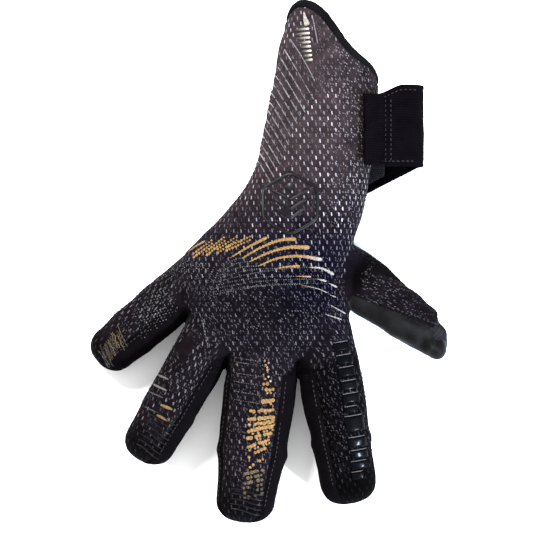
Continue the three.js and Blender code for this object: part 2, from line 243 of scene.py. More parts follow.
class Digit:
    """A digit's own coordinates: the distance along it from its root hinge, the distance across it
    towards the thumb's side, and the angle round it."""

    def __init__(self, name):
        self.name = name
        self.root, self.middle = joint_at(f"{name}_knuckle"), joint_at(f"{name}_middle_bend")
        self.across = np.array(joints[f"{name}_knuckle"]["axis"], float)
        self.along = np.cross(self.across, UP)
        self.middle_at = float((self.middle - self.root) @ self.along)
        self.shape = DIGITS[name]
        longest = float(self.reach(node_points(f"{name}_distal_back")).max())
        self.length = longest + CLEAR + self.shape["extra"]
        part = self.middle_at / self.length
        self.drop = (self.middle[2] - self.root[2]) / part ** SAG
        self.profile = np.array(self.shape["profile"], float)
        self.dome_at = self.length - self.profile[-1, 1] * self.shape["tip"]
        self.border = (ROOT_BLEND + self.middle_at - MIDDLE_BLEND) / 2

    def reach(self, points):
        """Distance along the digit from its root hinge."""
        return (points - self.root) @ self.along

    def height(self, s):
        part = np.clip(np.asarray(s, float) / self.length, 0, 1)
        return self.root[2] + self.drop * part ** SAG

    def settled(self, s):
        part = np.clip(np.asarray(s, float) / self.length, 0, 1)
        return self.shape["lean"] * part * part * (3 - 2 * part)

    def half(self, s, column):
        """Half width (column 1) or half height (column 2), without the rounding of the tip."""
        return smooth_steps(s, self.profile[:, 0], self.profile[:, column])

    def dome(self, s):
        part = np.clip((np.asarray(s, float) - self.dome_at) / (self.length - self.dome_at), 0, 1)
        return (1 - part ** TIP_POWER) ** (1 / TIP_POWER)

    def local(self, points):
        """Distance along, distance across, height over the centre line, and angle from straight up."""
        offset = points - self.root
        s = offset @ self.along
        v = offset @ self.across - self.settled(s)
        rise = points[:, 2] - self.height(s)
        angle = np.degrees(np.arctan2(v / self.half(s, 1), rise / self.half(s, 2)))
        return s, v, rise, angle

    def axis_point(self, s):
        point = self.root + self.along * s + self.across * float(self.settled(s))
        point[2] = float(self.height(s))
        return point

    def rings(self):
        last = self.length - 0.05
        body = np.arange(-30, self.dome_at, 2.0)
        turns = np.radians(np.linspace(0, 87, 12))
        dome = self.dome_at + (last - self.dome_at) * np.sin(turns)
        rings = []
        for s in np.concatenate([body, dome]):
            shrink = float(self.dome(s))
            width, height = (float(self.half(s, column)) * shrink for column in (1, 2))
            rings.append((self.axis_point(s), width, height))
        return rings


def smooth_steps(s, places, values):
    """A smooth curve through the values at the places."""
    s = np.clip(np.asarray(s, float), places[0], places[-1])
    slope = np.gradient(values, places)
    index = np.clip(np.searchsorted(places, s, side="right") - 1, 0, len(places) - 2)
    width = places[index + 1] - places[index]
    t = (s - places[index]) / width
    # A cubic Hermite curve between two places.
    return ((2 * t ** 3 - 3 * t ** 2 + 1) * values[index] + (t ** 3 - 2 * t ** 2 + t) * width * slope[index]
            + (-2 * t ** 3 + 3 * t ** 2) * values[index + 1] + (t ** 3 - t ** 2) * width * slope[index + 1])


digits = {name: Digit(name) for name in ORDER}


def body_at(y):
    """Centre across, half width, centre height and half height of the hand and cuff at y."""
    table = np.array(BODY_STATIONS[::-1], float)
    return [smooth_steps(y, table[:, 0], table[:, column]) for column in (1, 2, 3, 4)]


# ---- The whole skin: one smooth surface from which every panel is cut ----------------------------

def loft(rings, across, power):
    """Vertices and faces of a closed skin through upright superelliptic rings."""
    side, lift = superellipse(np.linspace(0, 2 * np.pi, ROUND, endpoint=False), power)
    vertices = []
    for centre, width, height in rings:
        vertices += list(centre + np.outer(side * width, across) + np.outer(lift * height, UP))
    return vertices, tube_faces(len(rings), ROUND)


def whole_skin():
    """Hand, cuff and digits, lofted and melted into one body."""
    vertices, faces = [], []

    def add(part):
        base = len(vertices)
        vertices.extend(part[0])
        faces.extend(tuple(base + i for i in face) for face in part[1])

    rings = []
    for y in np.arange(BODY_STATIONS[0][0], BODY_STATIONS[-1][0] - 0.1, -2.0):
        x, width, z, height = (float(value) for value in body_at(y))
        rings.append((np.array([x, y, z]), width, height))
    add(loft(rings, np.array([1.0, 0, 0]), BODY_POWER))
    for digit in digits.values():
        add(loft(digit.rings(), digit.across, DIGIT_POWER))
    mesh = bpy.data.meshes.new("skin")
    mesh.from_pydata([tuple(np.array(v) * MM) for v in vertices], [], faces)
    obj = linked("skin", mesh)
    turn_faces_outward(mesh)
    modifier = obj.modifiers.new("remesh", "REMESH")
    modifier.mode, modifier.voxel_size = "VOXEL", VOXEL * MM
    result = bpy.data.meshes.new_from_object(obj.evaluated_get(bpy.context.evaluated_depsgraph_get()))
    bpy.data.objects.remove(obj)
    return result


PULL, PUSH = 0.5, -0.52             # shares of the way to the neighbours' mean, in turn


def relax(points, edges, rounds):
    """Smooths without shrinking: each round pulls every point to its neighbours and pushes it back."""
    degree = np.bincount(edges.ravel(), minlength=len(points))[:, None]
    for _ in range(rounds):
        for share in (PULL, PUSH):
            total = np.zeros_like(points)
            np.add.at(total, edges[:, 0], points[edges[:, 1]])
            np.add.at(total, edges[:, 1], points[edges[:, 0]])
            points = points + share * (total / degree - points)
    return points


def set_points(mesh, points):
    mesh.vertices.foreach_set("co", (points * MM).ravel())
    mesh.update()


def normals_of(mesh):
    return read(mesh.vertices, "normal", 3)


def webs():
    """Between neighbouring digits: the place of the web and the normal of the upright plane through
    it, towards the later digit."""
    found = []
    for first, second in zip(ORDER, ORDER[1:]):
        a, b = digits[first], digits[second]
        if second == "thumb":
            place = b.root - b.across * float(b.half(0, 1))
        else:
            place = a.root + a.across * float(a.half(0, 1))
        way = a.along + b.along
        way /= np.linalg.norm(way)
        found.append((place, np.cross(UP, way)))
    return found


WEBS = webs()


def in_sector(points, index, slack=0.0):
    """Which points lie between the webs on both sides of a digit."""
    inside = np.ones(len(points), bool)
    if index > 0:
        place, normal = WEBS[index - 1]
        inside &= (points - place) @ normal > -slack
    if index < len(ORDER) - 1:
        place, normal = WEBS[index]
        inside &= (points - place) @ normal < slack
    return inside


START = -1.0                        # each digit's pieces start this far before its hinge


def in_digit(points, name, slack=0.0):
    """Which points belong to a digit."""
    return (digits[name].reach(points) > START - slack) & in_sector(points, ORDER.index(name), slack)


def rise_between(value, low, high):
    """0 up to low, 1 from high on, and smooth between."""
    part = np.clip((value - low) / (high - low), 0, 1)
    return part * part * (3 - 2 * part)


def ridge(distance, width):
    """1 at no distance, falling to nothing beyond the width."""
    return np.exp(-(distance / width) ** 2)


LATEX_AT, LATEX_SLOPE = 8.6, 0.268  # the line on top of the thumb where its latex ends
LATEX_TIP = 11                      # the last millimetres of the thumb, which are all latex


def thumb_wrap(s, v, rise):
    """Negative where latex covers the thumb: below, on top up to a slanting line, and the tip."""
    tip = digits["thumb"].length - LATEX_TIP - s - 0.25 * v
    return np.minimum(np.minimum(v + LATEX_AT - LATEX_SLOPE * s, rise + 2), tip)


def thumb_saddle(s, v):
    """Positive where the thumb's outer side is plain fabric."""
    return v - 8.9 - 0.26 * s


def finger_seams(digit, angle):
    """Degrees past the lengthwise seams of a finger: two beside its back, and the pair beside its palm."""
    thumb_side, little_side = digit.shape["seams"]
    return angle - thumb_side, -angle - little_side, np.abs(angle) - digit.shape["palm"]


def seam_distance(digit, s, v, rise, angle):
    """Distance on the surface from the nearest lengthwise seam."""
    if digit.name == "thumb":
        saddle = np.where(rise > 0, np.abs(thumb_saddle(s, v)), 99)
        return np.minimum(np.abs(thumb_wrap(s, v, rise)), saddle)
    radius = (digit.half(s, 1) + digit.half(s, 2)) / 2
    return np.radians(np.minimum.reduce([np.abs(gap) for gap in finger_seams(digit, angle)])) * radius


WEB_DEPTHS = (3.5, 3.5, 8.0)        # from the little finger's web to the index finger's
WEB_WIDTH = 7
WEB_HEIGHT = 26


def deepen_webs(points, normals):
    """Draws the bottom of each gap between two fingers further into the hand."""
    points = points.copy()
    for (place, normal), depth in zip(WEBS, WEB_DEPTHS):
        way = np.cross(normal, UP)
        facing = np.clip(normals @ way, 0, 1)
        bottom = (np.abs((points - place) @ normal) < 2) & (facing > 0.8)
        bottom &= np.abs(points[:, 2] - WEB_HEIGHT) < 6
        gap = np.linalg.norm((points - points[bottom].mean(0))[:, :2], axis=1)
        points -= (depth * ridge(gap, WEB_WIDTH) * facing)[:, None] * way
    return points


SEAM_PULL, SEAM_WIDTH = 1.25, 1.0   # how far a seam is drawn in, and its width
PADDING = 0.35                      # how far the padding stands out between seams
JOINT_CREASES = ((-4.5, 0.5), (0, 0.9), (4.5, 0.5))    # place from the middle joint, and depth


def digit_relief(digit, s, v, rise, angle):
    """How far the skin of a digit moves out: seams, creases under the middle joint, and the joint's bulge."""
    fade = np.clip((s - START) / 8, 0, 1)
    change = fade * (PADDING - SEAM_PULL * ridge(seam_distance(digit, s, v, rise, angle), SEAM_WIDTH))
    under = np.clip(-rise / digit.half(s, 2), 0, 1)
    for step, depth in JOINT_CREASES:
        change -= fade * under * depth * ridge(s - digit.middle_at - step, 1.3)
    # The gussets stand out a little at the middle joint, and the knuckle shows on the back.
    side = np.abs(v) / digit.half(s, 1)
    bump = 1.1 if digit.name in ("middle", "index") else 0.5
    change += bump * np.clip(side, 0, 1) ** 4 * ridge(s - digit.middle_at - 3, 3.6)
    change += 0.5 * np.clip(rise / digit.half(s, 2), 0, 1) * ridge(s - digit.middle_at, 7)
    return change


def thumb_tip_relief(s, v, rise):
    """The steps of the thumb's end. Its fabric ends in a shoulder, and the latex beyond it is pinched."""
    end = digits["thumb"].length
    pinch = 4.6 * rise_between(s, end - 15, end - 8) * rise_between(v, -6, 5)
    return (2.6 * rise_between(s, end - 7, end - 1) * (1 - rise_between(v, 0, 7)),
            -pinch * rise_between(rise, -9, 0),
            1.0 * ridge(s - end + 18, 4) * rise_between(v, 0, 8),
            -1.6 * ridge(s - end + 13, 2.2) * ridge(v + 6, 3.2) * (rise > 0),
            0.8 * ridge(s - end + 8.5, 2.2) * ridge(v + 5, 5) * (rise > 0))


def body_relief(points):
    """How far the skin of the hand and cuff moves out."""
    x, y, z = points.T
    change = np.zeros(len(points))
    # The side seam of the hand and the hem where the hand meets the cuff's elastic on the palm.
    centre, width, _, _ = body_at(y)
    outer = np.abs(x - centre) / width
    change -= 0.9 * ridge(z - SEAM_Z, 0.9) * (outer > 0.75)
    under = np.clip((SEAM_Z - z) / 18, 0, 1)
    for place in (WRIST[1] + 2, WRIST[1] - 5):
        change -= 0.8 * under * ridge(y - place, 1.0)
    # Padding of the latex palm, with a flex line across it.
    change -= 0.9 * under * ridge(y + 6 + 0.18 * x + 0.004 * x ** 2, 1.6)
    return change


def slack_of(points):
    """Slack cloth everywhere, and long soft folds of the cuff's knit, running round the wrist."""
    soft = np.array([
        noise.noise(Vector(p * 0.055)) * 0.55 + noise.noise(Vector(p * 0.16 + 9)) * 0.22 for p in points])
    x, y = points[:, 0], points[:, 1]
    folds = np.sin(y * 0.62 + x * 0.22 + 2 * np.sin(x * 0.05)) * np.clip((y - 45) / 15, 0, 1)
    calm = np.clip(1 - (y - 105) / 20, 0, 1)
    return soft + 0.16 * folds * calm


def sculpt(points, normals):
    """Moves the skin along its normals: seams pulled in, padding between them, creases and slack cloth."""
    move = np.zeros(len(points))
    hand = np.ones(len(points), bool)
    for index, name in enumerate(ORDER):
        inside = in_digit(points, name, 3.0) & in_sector(points, index)
        hand &= ~inside
        s, v, rise, angle = digits[name].local(points[inside])
        change = digit_relief(digits[name], s, v, rise, angle)
        if name == "thumb":
            for step in thumb_tip_relief(s, v, rise):
                change += step
        move[inside] += change
    move[hand] += body_relief(points[hand])
    move += slack_of(points)
    return points + normals * move[:, None]


LOWEST = 0.12                       # the skin stays this far above the floor

skin = whole_skin()
skin_edges = read(skin.edges, "vertices", 2, np.int64)
skin_points = relax(read(skin.vertices, "co", 3) / MM, skin_edges, 16)
set_points(skin, skin_points)
skin_points = relax(deepen_webs(skin_points, normals_of(skin)), skin_edges, 6)
set_points(skin, skin_points)
smooth_points, smooth_normals = skin_points.copy(), normals_of(skin)
skin_points = sculpt(skin_points, smooth_normals)
skin_points = relax(skin_points, skin_edges, 2)
skin_points[:, 2] = np.maximum(skin_points[:, 2], LOWEST)
set_points(skin, skin_points)
skin_normals = normals_of(skin)
skin_tree = BVHTree.FromPolygons(
    [tuple(p) for p in skin_points], [tuple(polygon.vertices) for polygon in skin.polygons])
skin_near = KDTree(len(skin_points))
for number, place in enumerate(skin_points):
    skin_near.insert(place, number)
skin_near.balance()


def normal_at(point):
    return skin_normals[skin_near.find(point)[1]]


# ---- Cutting the skin along the seams ------------------------------------------------------------

CLOSE = 0.16                        # share of an edge within which its point moves onto the line


class Skin:
    """The glove's triangles, cut along the lines where a field is zero. Each point has its place on
    the finished skin, its normal, and its place and normal on the smooth skin under the padding."""

    def __init__(self):
        skin.calc_loop_triangles()
        self.triangles = read(skin.loop_triangles, "vertices", 3, np.int64)
        self.data = np.hstack([skin_points, skin_normals, smooth_points, smooth_normals])

    @property
    def points(self):
        return self.data[:, :3]

    def crossings(self, value):
        """The triangles that the zero line runs through, and their crossed edges without repeats."""
        corner = value[self.triangles]
        crossed = (corner.min(1) < 0) & (corner.max(1) > 0)
        work = self.triangles[crossed]
        pairs = np.sort(np.stack([work, np.roll(work, -1, 1)], 2), 2)
        cross = value[pairs[..., 0]] * value[pairs[..., 1]] < 0
        found, where = np.unique(pairs[cross], axis=0, return_inverse=True)
        share = value[found[:, 0]] / (value[found[:, 0]] - value[found[:, 1]])
        return crossed, work, cross, found, where.ravel(), share

    def between(self, found, share):
        return self.data[found[:, 0]] + share[:, None] * (self.data[found[:, 1]] - self.data[found[:, 0]])

    def cut(self, field, region):
        value = np.where(region(self.points), field(self.points), 0.0)
        # A point close to the line moves onto it, so that no sliver is made.
        _, _, _, found, _, share = self.crossings(value)
        spot = self.between(found, share)
        closeness = np.minimum(share, 1 - share)
        order = np.argsort(-closeness)
        order = order[closeness[order] < CLOSE]
        moving = np.where(share[order] < 0.5, found[order, 0], found[order, 1])
        self.data[moving] = spot[order]
        value[moving] = 0
        crossed, work, cross, found, where, share = self.crossings(value)
        number = np.full(cross.shape, -1)
        number[cross] = len(self.data) + where
        self.data = np.vstack([self.data, self.between(found, share)])
        made = [self.triangles[~crossed]]
        count = cross.sum(1)
        for k in range(3):
            a, b, c = (work[:, (k + step) % 3] for step in range(3))
            on_ab, on_bc, on_ca = (number[:, (k + step) % 3] for step in range(3))
            one = (count == 1) & (on_bc >= 0)
            two = (count == 2) & (on_ab >= 0) & (on_ca >= 0)
            for chosen, corners in ((one, (a, b, on_bc)), (one, (a, on_bc, c)), (two, (a, on_ab, on_ca)),
                                    (two, (on_ab, b, c)), (two, (on_ab, c, on_ca))):
                made.append(np.stack(corners, 1)[chosen])
        self.triangles = np.vstack(made)

    def side(self, field):
        """For each triangle, on which side of the field's zero line it lies."""
        return field(self.points)[self.triangles].sum(1)


def plane_of(node):
    """The middle of a flat ring and its axis, from its points."""
    points = node_points(node)
    _, _, axes = np.linalg.svd(points - points.mean(0), full_matrices=False)
    axis = axes[2] * np.sign(axes[2][1])
    return points.mean(0), axis


MOUTH, MOUTH_AXIS = plane_of("cuff_binding")
HEM = 0.8                           # the skin ends this far inside the middle of the rolled binding
CUFF_FROM = WRIST[1] + WRIST_BLEND / 2
DIP = 9.5                           # the rim hangs this far below its plane on the thumb's side
DIP_AT, DIP_WIDTH = 45, 16


def mouth_dip(points):
    return DIP * ridge(points[..., 0] - DIP_AT, DIP_WIDTH)


def mouth_field(points):
    return (points - MOUTH) @ MOUTH_AXIS + HEM + mouth_dip(points)


def cuff_field(points):
    return points[:, 1] - CUFF_FROM


def side_seam_field(points):
    return points[:, 2] - SEAM_Z


whole = Skin()


def cut_digit_off(index, name):
    """Cuts the skin across a digit's root and through the web towards the next digit."""
    digit = digits[name]

    def nearby(points):
        s, v, rise, _ = digit.local(points)
        return (np.abs(v) < 2 * digit.half(0, 1)) & (np.abs(rise) < 45) & (s > START - 3)

    whole.cut(lambda p: digit.reach(p) - START, lambda p: nearby(p) & in_sector(p, index, 3))
    if index < len(WEBS):
        place, normal = WEBS[index]
        following = ORDER[index + 1]
        whole.cut(lambda p: (p - place) @ normal,
                  lambda p: in_digit(p, name, 3) | in_digit(p, following, 3))


for index, name in enumerate(ORDER):
    cut_digit_off(index, name)
whole.cut(mouth_field, lambda p: p[:, 1] > CUFF_FROM)
whole.cut(cuff_field, lambda p: np.abs(p[:, 1] - CUFF_FROM) < 10)


def cut_panels_of(name):
    """Cuts a digit at the border of its two segments and along its lengthwise seams."""
    digit = digits[name]

    def own(points):
        return in_digit(points, name, 0.01)

    whole.cut(lambda p: digit.reach(p) - digit.border, own)
    if name == "thumb":
        whole.cut(lambda p: thumb_wrap(*digit.local(p)[:3]), own)
        whole.cut(lambda p: thumb_saddle(*digit.local(p)[:2]), lambda p: own(p) & (digit.local(p)[2] > -2.5))
        return
    for k in range(3):
        whole.cut(lambda p: finger_seams(digit, digit.local(p)[3])[k],
                  lambda p: own(p) & (np.abs(finger_seams(digit, digit.local(p)[3])[k]) < 50))


def beyond_digits(points):
    return ~np.logical_or.reduce([in_digit(points, name, -0.01) for name in ORDER])


for name in ORDER:
    cut_panels_of(name)
whole.cut(side_seam_field, beyond_digits)


# ---- Panels --------------------------------------------------------------------------------------

def arc_table(power, ratio):
    """Angles from straight up, and the distance round a superellipse to each, in half widths."""
    side, lift = superellipse(np.linspace(0, np.pi, 181), power)
    steps = np.hypot(np.diff(side), ratio * np.diff(lift))
    return np.degrees(np.arctan2(side, lift)), np.concatenate([[0], np.cumsum(steps)])


BODY_ARC = arc_table(BODY_POWER, 0.66)
DIGIT_ARC = arc_table(DIGIT_POWER, 0.86)


def round_distance(angle, table):
    return np.sign(angle) * np.interp(np.abs(angle), *table)


def weave_of(points):
    """Where a point lies on the knit, in millimetres: rows follow the hand, and turn into each digit."""
    centre, width, middle, height = body_at(points[:, 1])
    angle = np.degrees(np.arctan2((points[:, 0] - centre) / width, (points[:, 2] - middle) / height))
    total = np.stack([centre + width * round_distance(angle, BODY_ARC), points[:, 1]], 1)
    for index, name in enumerate(ORDER):
        digit = digits[name]
        s, v, _, angle = digit.local(points)
        around = digit.half(s, 1) * round_distance(angle, DIGIT_ARC)
        own = np.stack([digit.root[0] + around, digit.root[1] - s], 1)
        room = np.full(len(points), 99.0)
        if index > 0:
            room = np.minimum(room, (points - WEBS[index - 1][0]) @ WEBS[index - 1][1])
        if index < len(WEBS):
            room = np.minimum(room, -(points - WEBS[index][0]) @ WEBS[index][1])
        near = np.maximum(rise_between(room, 0, 14), rise_between(s, 0, 8)) * (room > 0)
        reach = 5 if name == "thumb" else 24
        weight = (rise_between(s, -reach, 2) * near * (np.abs(v) < 2 * digit.half(0, 1)))[:, None]
        total = (1 - weight) * total + weight * own
    return total


EXPOSURE = 0.35                     # the studio light is nearly three times as strong as white paper needs


def paint_linear(red, green, blue):
    """The paint that looks like this colour of the picture under the studio light."""
    return EXPOSURE * np.array([(value / 255) ** 2.2 for value in (red, green, blue)])


CUFF_TINT, HAND_TINT = paint_linear(66, 56, 59), paint_linear(36, 31, 37)
NAVY_TINT, FINGER_TINT = paint_linear(13, 13, 36), paint_linear(32, 27, 31)
PLAIN_TINT = paint_linear(19, 16, 18)

# Strength of the knit's light dashes and brightness of its ground, on each digit.
DASHES = {"pinky": 0.2, "ring": 0.24, "middle": 0.22, "index": 0.08, "thumb": 0.09}
SHADES = {"pinky": 0.9, "ring": 0.95, "middle": 1.0, "index": 0.22, "thumb": 0.75}


SLANT_X, SLANT_Y = 0.49, -0.87      # the way down along the slanting lines on the cuff


def slanting_start(share):
    """Where a slanting line of the cuff starts: the first at share 0, the last at share 1."""
    return 6.8 - 15.5 * share ** 0.8, 118 - 60 * share


def slanting_zone(x, y):
    """The part of the cuff with slanting lines: place down along a line, and its share of all lines."""
    shares = np.linspace(0, 1, 40)
    start_x, start_y = slanting_start(shares)
    crossed = SLANT_X * start_y - SLANT_Y * start_x
    share = np.interp(SLANT_X * y - SLANT_Y * x, crossed[::-1], shares[::-1])
    start_x, start_y = slanting_start(share)
    return SLANT_X * (x - start_x) + SLANT_Y * (y - start_y), share


# Two patches of the hand's knit, each with its centre and its reach in X and Y.
NAVY_PATCH = (24, -8), (24, 26)
DARK_PATCH = (-2, -26), (38, 22)
BEFORE_ROOT = -24                   # the look of a digit starts to fade in this far before its hinge


def patch(x, y, centre, reach):
    return np.exp(-((x - centre[0]) / reach[0]) ** 2 - ((y - centre[1]) / reach[1]) ** 2)


def body_knit(x, y, z):
    """Tint, dashes and glints of the knit on the hand and cuff."""
    navy, dark = patch(x, y, *NAVY_PATCH), patch(x, y, *DARK_PATCH)
    tint = HAND_TINT + rise_between(y, 8, 70)[:, None] * (CUFF_TINT - HAND_TINT)
    # Darker towards the cuff's thumb side as painted shade, away from the key light, and darker over the
    # knuckles and in the two patches.
    painted_side_shade = 1 - 0.5 * rise_between(x, 30, 54) * rise_between(y, 20, 60)
    tint = tint * painted_side_shade[:, None] * (1 - 0.1 * rise_between(-y, 0, 20))[:, None]
    tint = (1 - 0.2 * navy[:, None]) * (tint + 0.9 * navy[:, None] * (NAVY_TINT - tint))
    tint = tint * (1 - 0.45 * dark[:, None])
    # The dashes are strong in the middle of the back, and fade on the patches, on the little finger's
    # side of the hand, over the knuckles, on the cuff's thumb side and low on the sides.
    dash = 0.86 - 0.62 * dark - 0.34 * navy
    dash *= 1 - 0.6 * rise_between(-x, -8, 30) * rise_between(y, -28, 4) * (1 - rise_between(y, 50, 75))
    dash *= 1 - 0.58 * rise_between(-y, -2, 18)
    dash *= 1 - 0.72 * rise_between(x, 31, 42) * rise_between(y, 50, 70)
    dash *= 0.35 + 0.65 * rise_between(z, 20, 36)
    # They are weak between the slanting lines of the cuff too.
    down, share = slanting_zone(x, y)
    inside = rise_between(down, -6, 2) * (1 - rise_between(down, 26 - 14 * share, 34 - 14 * share))
    inside *= rise_between(y, 52, 62) * (1 - rise_between(y, 118, 126))
    dash *= 1 - 0.75 * inside
    glint = 0.12 + 0.45 * np.exp(-((x - 43) / 12) ** 2) * rise_between(y, -10, 40) + 0.16 * dark
    return tint, dash, glint


def plain_wedge(points, index, s, angle):
    """1 where a finger's plain gussets run up into the hand as dark wedges beside each web."""
    up = np.clip(-(s - START) / 20, 0, 1) ** 0.8
    beyond = np.maximum(*(turned - seam - (92 - seam) * up
                          for turned, seam in zip((angle, -angle), DIGITS[ORDER[index]]["seams"])))
    wedge = rise_between(beyond, -2, 5) * (s > BEFORE_ROOT) * in_sector(points, index)
    return wedge * rise_between(s, BEFORE_ROOT, BEFORE_ROOT + 14)


def knit_of(points):
    """Tint of the knit, strength of its light dashes and strength of its fine glints, at each point."""
    x, y, z = points.T
    tint, dash, glint = body_knit(x, y, z)
    for index, name in enumerate(ORDER):
        digit = digits[name]
        s, _, _, angle = digit.local(points)
        weight = rise_between(s, BEFORE_ROOT, 2) * in_sector(points, index)
        # Painted shade: each digit's knit darkens towards its tip, where less light falls, and its dashes and
        # glints fade there too.
        tip = rise_between(s, 0.62 * digit.length, 0.92 * digit.length)
        shade = FINGER_TINT * SHADES[name] * (1 - 0.65 * tip)[:, None]
        tint = tint + weight[:, None] * (shade - tint)
        strength = DASHES[name] * (1 - 0.8 * tip)
        if name == "thumb":
            strength = strength * (1 - rise_between(s, 10, 30))
        dash = dash + weight * (strength - dash)
        glint = glint + weight * ((0.1 if name == "index" else 0.2) * (1 - tip) - glint)
        if name == "thumb":
            # The hand's edge stands over the thumb, whose root is plain and dark: plain fabric, painted
            # darker still as the shadow under that edge.
            plain = rise_between(x, 43.5, 45.5) * (1 - rise_between(s, -4, 4))
            plain = plain * rise_between(s, -14, -4) * (weight > 0)
            ground = PLAIN_TINT * 0.5
        else:
            plain, ground = plain_wedge(points, index, s, angle), PLAIN_TINT
            glint = glint * (1 - plain)
        dash = dash * (1 - plain)
        tint = tint + plain[:, None] * (ground - tint)
    return tint, dash, glint * rise_between(z, 18, 34)


def region_of(point):
    """The part of the glove that a point belongs to."""
    spot = np.array([point])
    if cuff_field(spot)[0] > 0:
        return "cuff"
    for name in ORDER:
        if in_digit(spot, name)[0]:
            digit = digits[name]
            far = digit.reach(spot[0]) > digit.border
            return f"{name}_distal" if far else f"{name}_proximal"
    return "hand"


def attach(obj, region):
    """Parents a cuff piece to the cuff's body; any other piece has its transform baked into its mesh."""
    if region == "cuff":
        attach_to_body(obj, "cuff")
        return
    if region == "hand":
        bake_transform(obj)
        return
    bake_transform(obj)


def new_piece(name, points, faces, materials, replaced=()):
    mesh = bpy.data.meshes.new(name)
    mesh.from_pydata((np.asarray(points) * MM).tolist(), [], [list(face) for face in faces])
    for material in materials:
        mesh.materials.append(material)
    obj = linked(name, mesh)
    if replaced:
        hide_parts(*replaced)
    return obj


def set_values(mesh, name, kind, values):
    attribute = mesh.attributes.new(name, kind, "POINT")
    values = np.asarray(values, np.float32).ravel()
    attribute.data.foreach_set("color" if kind == "FLOAT_COLOR" else "value", values)


def set_weave(mesh, flat):
    layer = mesh.uv_layers.new(name="weave")
    corners = read(mesh.loops, "vertex_index", kind=np.int64)
    layer.data.foreach_set("uv", np.asarray(flat, np.float32)[corners].ravel())


def finish_piece(obj, flat, tint, angle=50):
    """Weave coordinates, tint and shading of a piece."""
    mesh = obj.data
    set_weave(mesh, flat)
    tint = np.broadcast_to(tint, (len(mesh.vertices), 3))
    set_values(mesh, "tint", "FLOAT_COLOR", np.hstack([tint, np.ones((len(tint), 1))]))
    mesh.polygons.foreach_set("use_smooth", np.ones(len(mesh.polygons), bool))
    mesh.set_sharp_from_angle(angle=math.radians(angle))


def panel(name, region, chosen, material, replaced=()):
    """One panel as its own closed piece: its outer face, its lined inner face and the edge between."""
    used, corners = np.unique(whole.triangles[chosen], return_inverse=True)
    corners = corners.reshape(-1, 3)
    outer, _, under, under_normals = (whole.data[used, 3 * k:3 * k + 3] for k in range(4))
    inner = under - under_normals * SKIN
    count = len(used)
    pairs = np.concatenate([corners[:, [0, 1]], corners[:, [1, 2]], corners[:, [2, 0]]])
    forward = pairs[:, 0] * count + pairs[:, 1]
    rim = pairs[~np.isin(forward, pairs[:, 1] * count + pairs[:, 0])]
    walls = np.stack([rim[:, 1], rim[:, 0], rim[:, 0] + count, rim[:, 1] + count], 1)
    faces = corners.tolist() + (corners[:, ::-1] + count).tolist() + walls.tolist()
    points, materials = np.vstack([outer, inner]), [MATERIALS[material], MATERIALS["lining"]]
    obj = new_piece(name, points, faces, materials, replaced)
    mesh = obj.data
    both = np.vstack([outer, outer])
    tint, dash, glint = knit_of(both)
    flat = weave_of(both)
    finish_piece(obj, flat, tint, 60)
    # The knit's dashes fade where the weave would be stretched much.
    (first, second), (third, fourth) = ([spots[corners[:, k]] - spots[corners[:, 0]] for k in (1, 2)]
                                        for spots in (flat, outer))
    woven = np.abs(first[:, 0] * second[:, 1] - first[:, 1] * second[:, 0])
    real = np.linalg.norm(np.cross(third, fourth), axis=1)
    worst = np.ones(2 * count)
    np.minimum.at(worst, corners.ravel(), np.repeat(woven / np.maximum(real, 1e-9), 3))
    kept = rise_between(worst, 0.45, 0.8)
    set_values(mesh, "dash", "FLOAT", dash * kept)
    set_values(mesh, "glint", "FLOAT", glint * kept)
    # Painted shade for the latex: darker low down, a little lighter on top.
    set_values(mesh, "shade", "FLOAT", 0.5 + 0.6 * rise_between(both[:, 2], 18, 36))
    inside = np.arange(len(faces)) >= len(corners)
    mesh.polygons.foreach_set("material_index", inside.astype(np.int32))
    # The outer face meets the wall in a sharp edge.
    ends = np.sort(read(mesh.edges, "vertices", 2, np.int64), 1)
    lip = np.sort(rim, 1)
    edge = np.isin(ends[:, 0] * 2 * count + ends[:, 1], lip[:, 0] * 2 * count + lip[:, 1])
    sharp = mesh.attributes.get("sharp_edge") or mesh.attributes.new("sharp_edge", "BOOLEAN", "EDGE")
    sharp.data.foreach_set("value", edge)
    attach(obj, region)


# ---- Materials -----------------------------------------------------------------------------------

LOOP_U, LOOP_V = 0.9, 0.8           # size of one loop of the knit, in millimetres


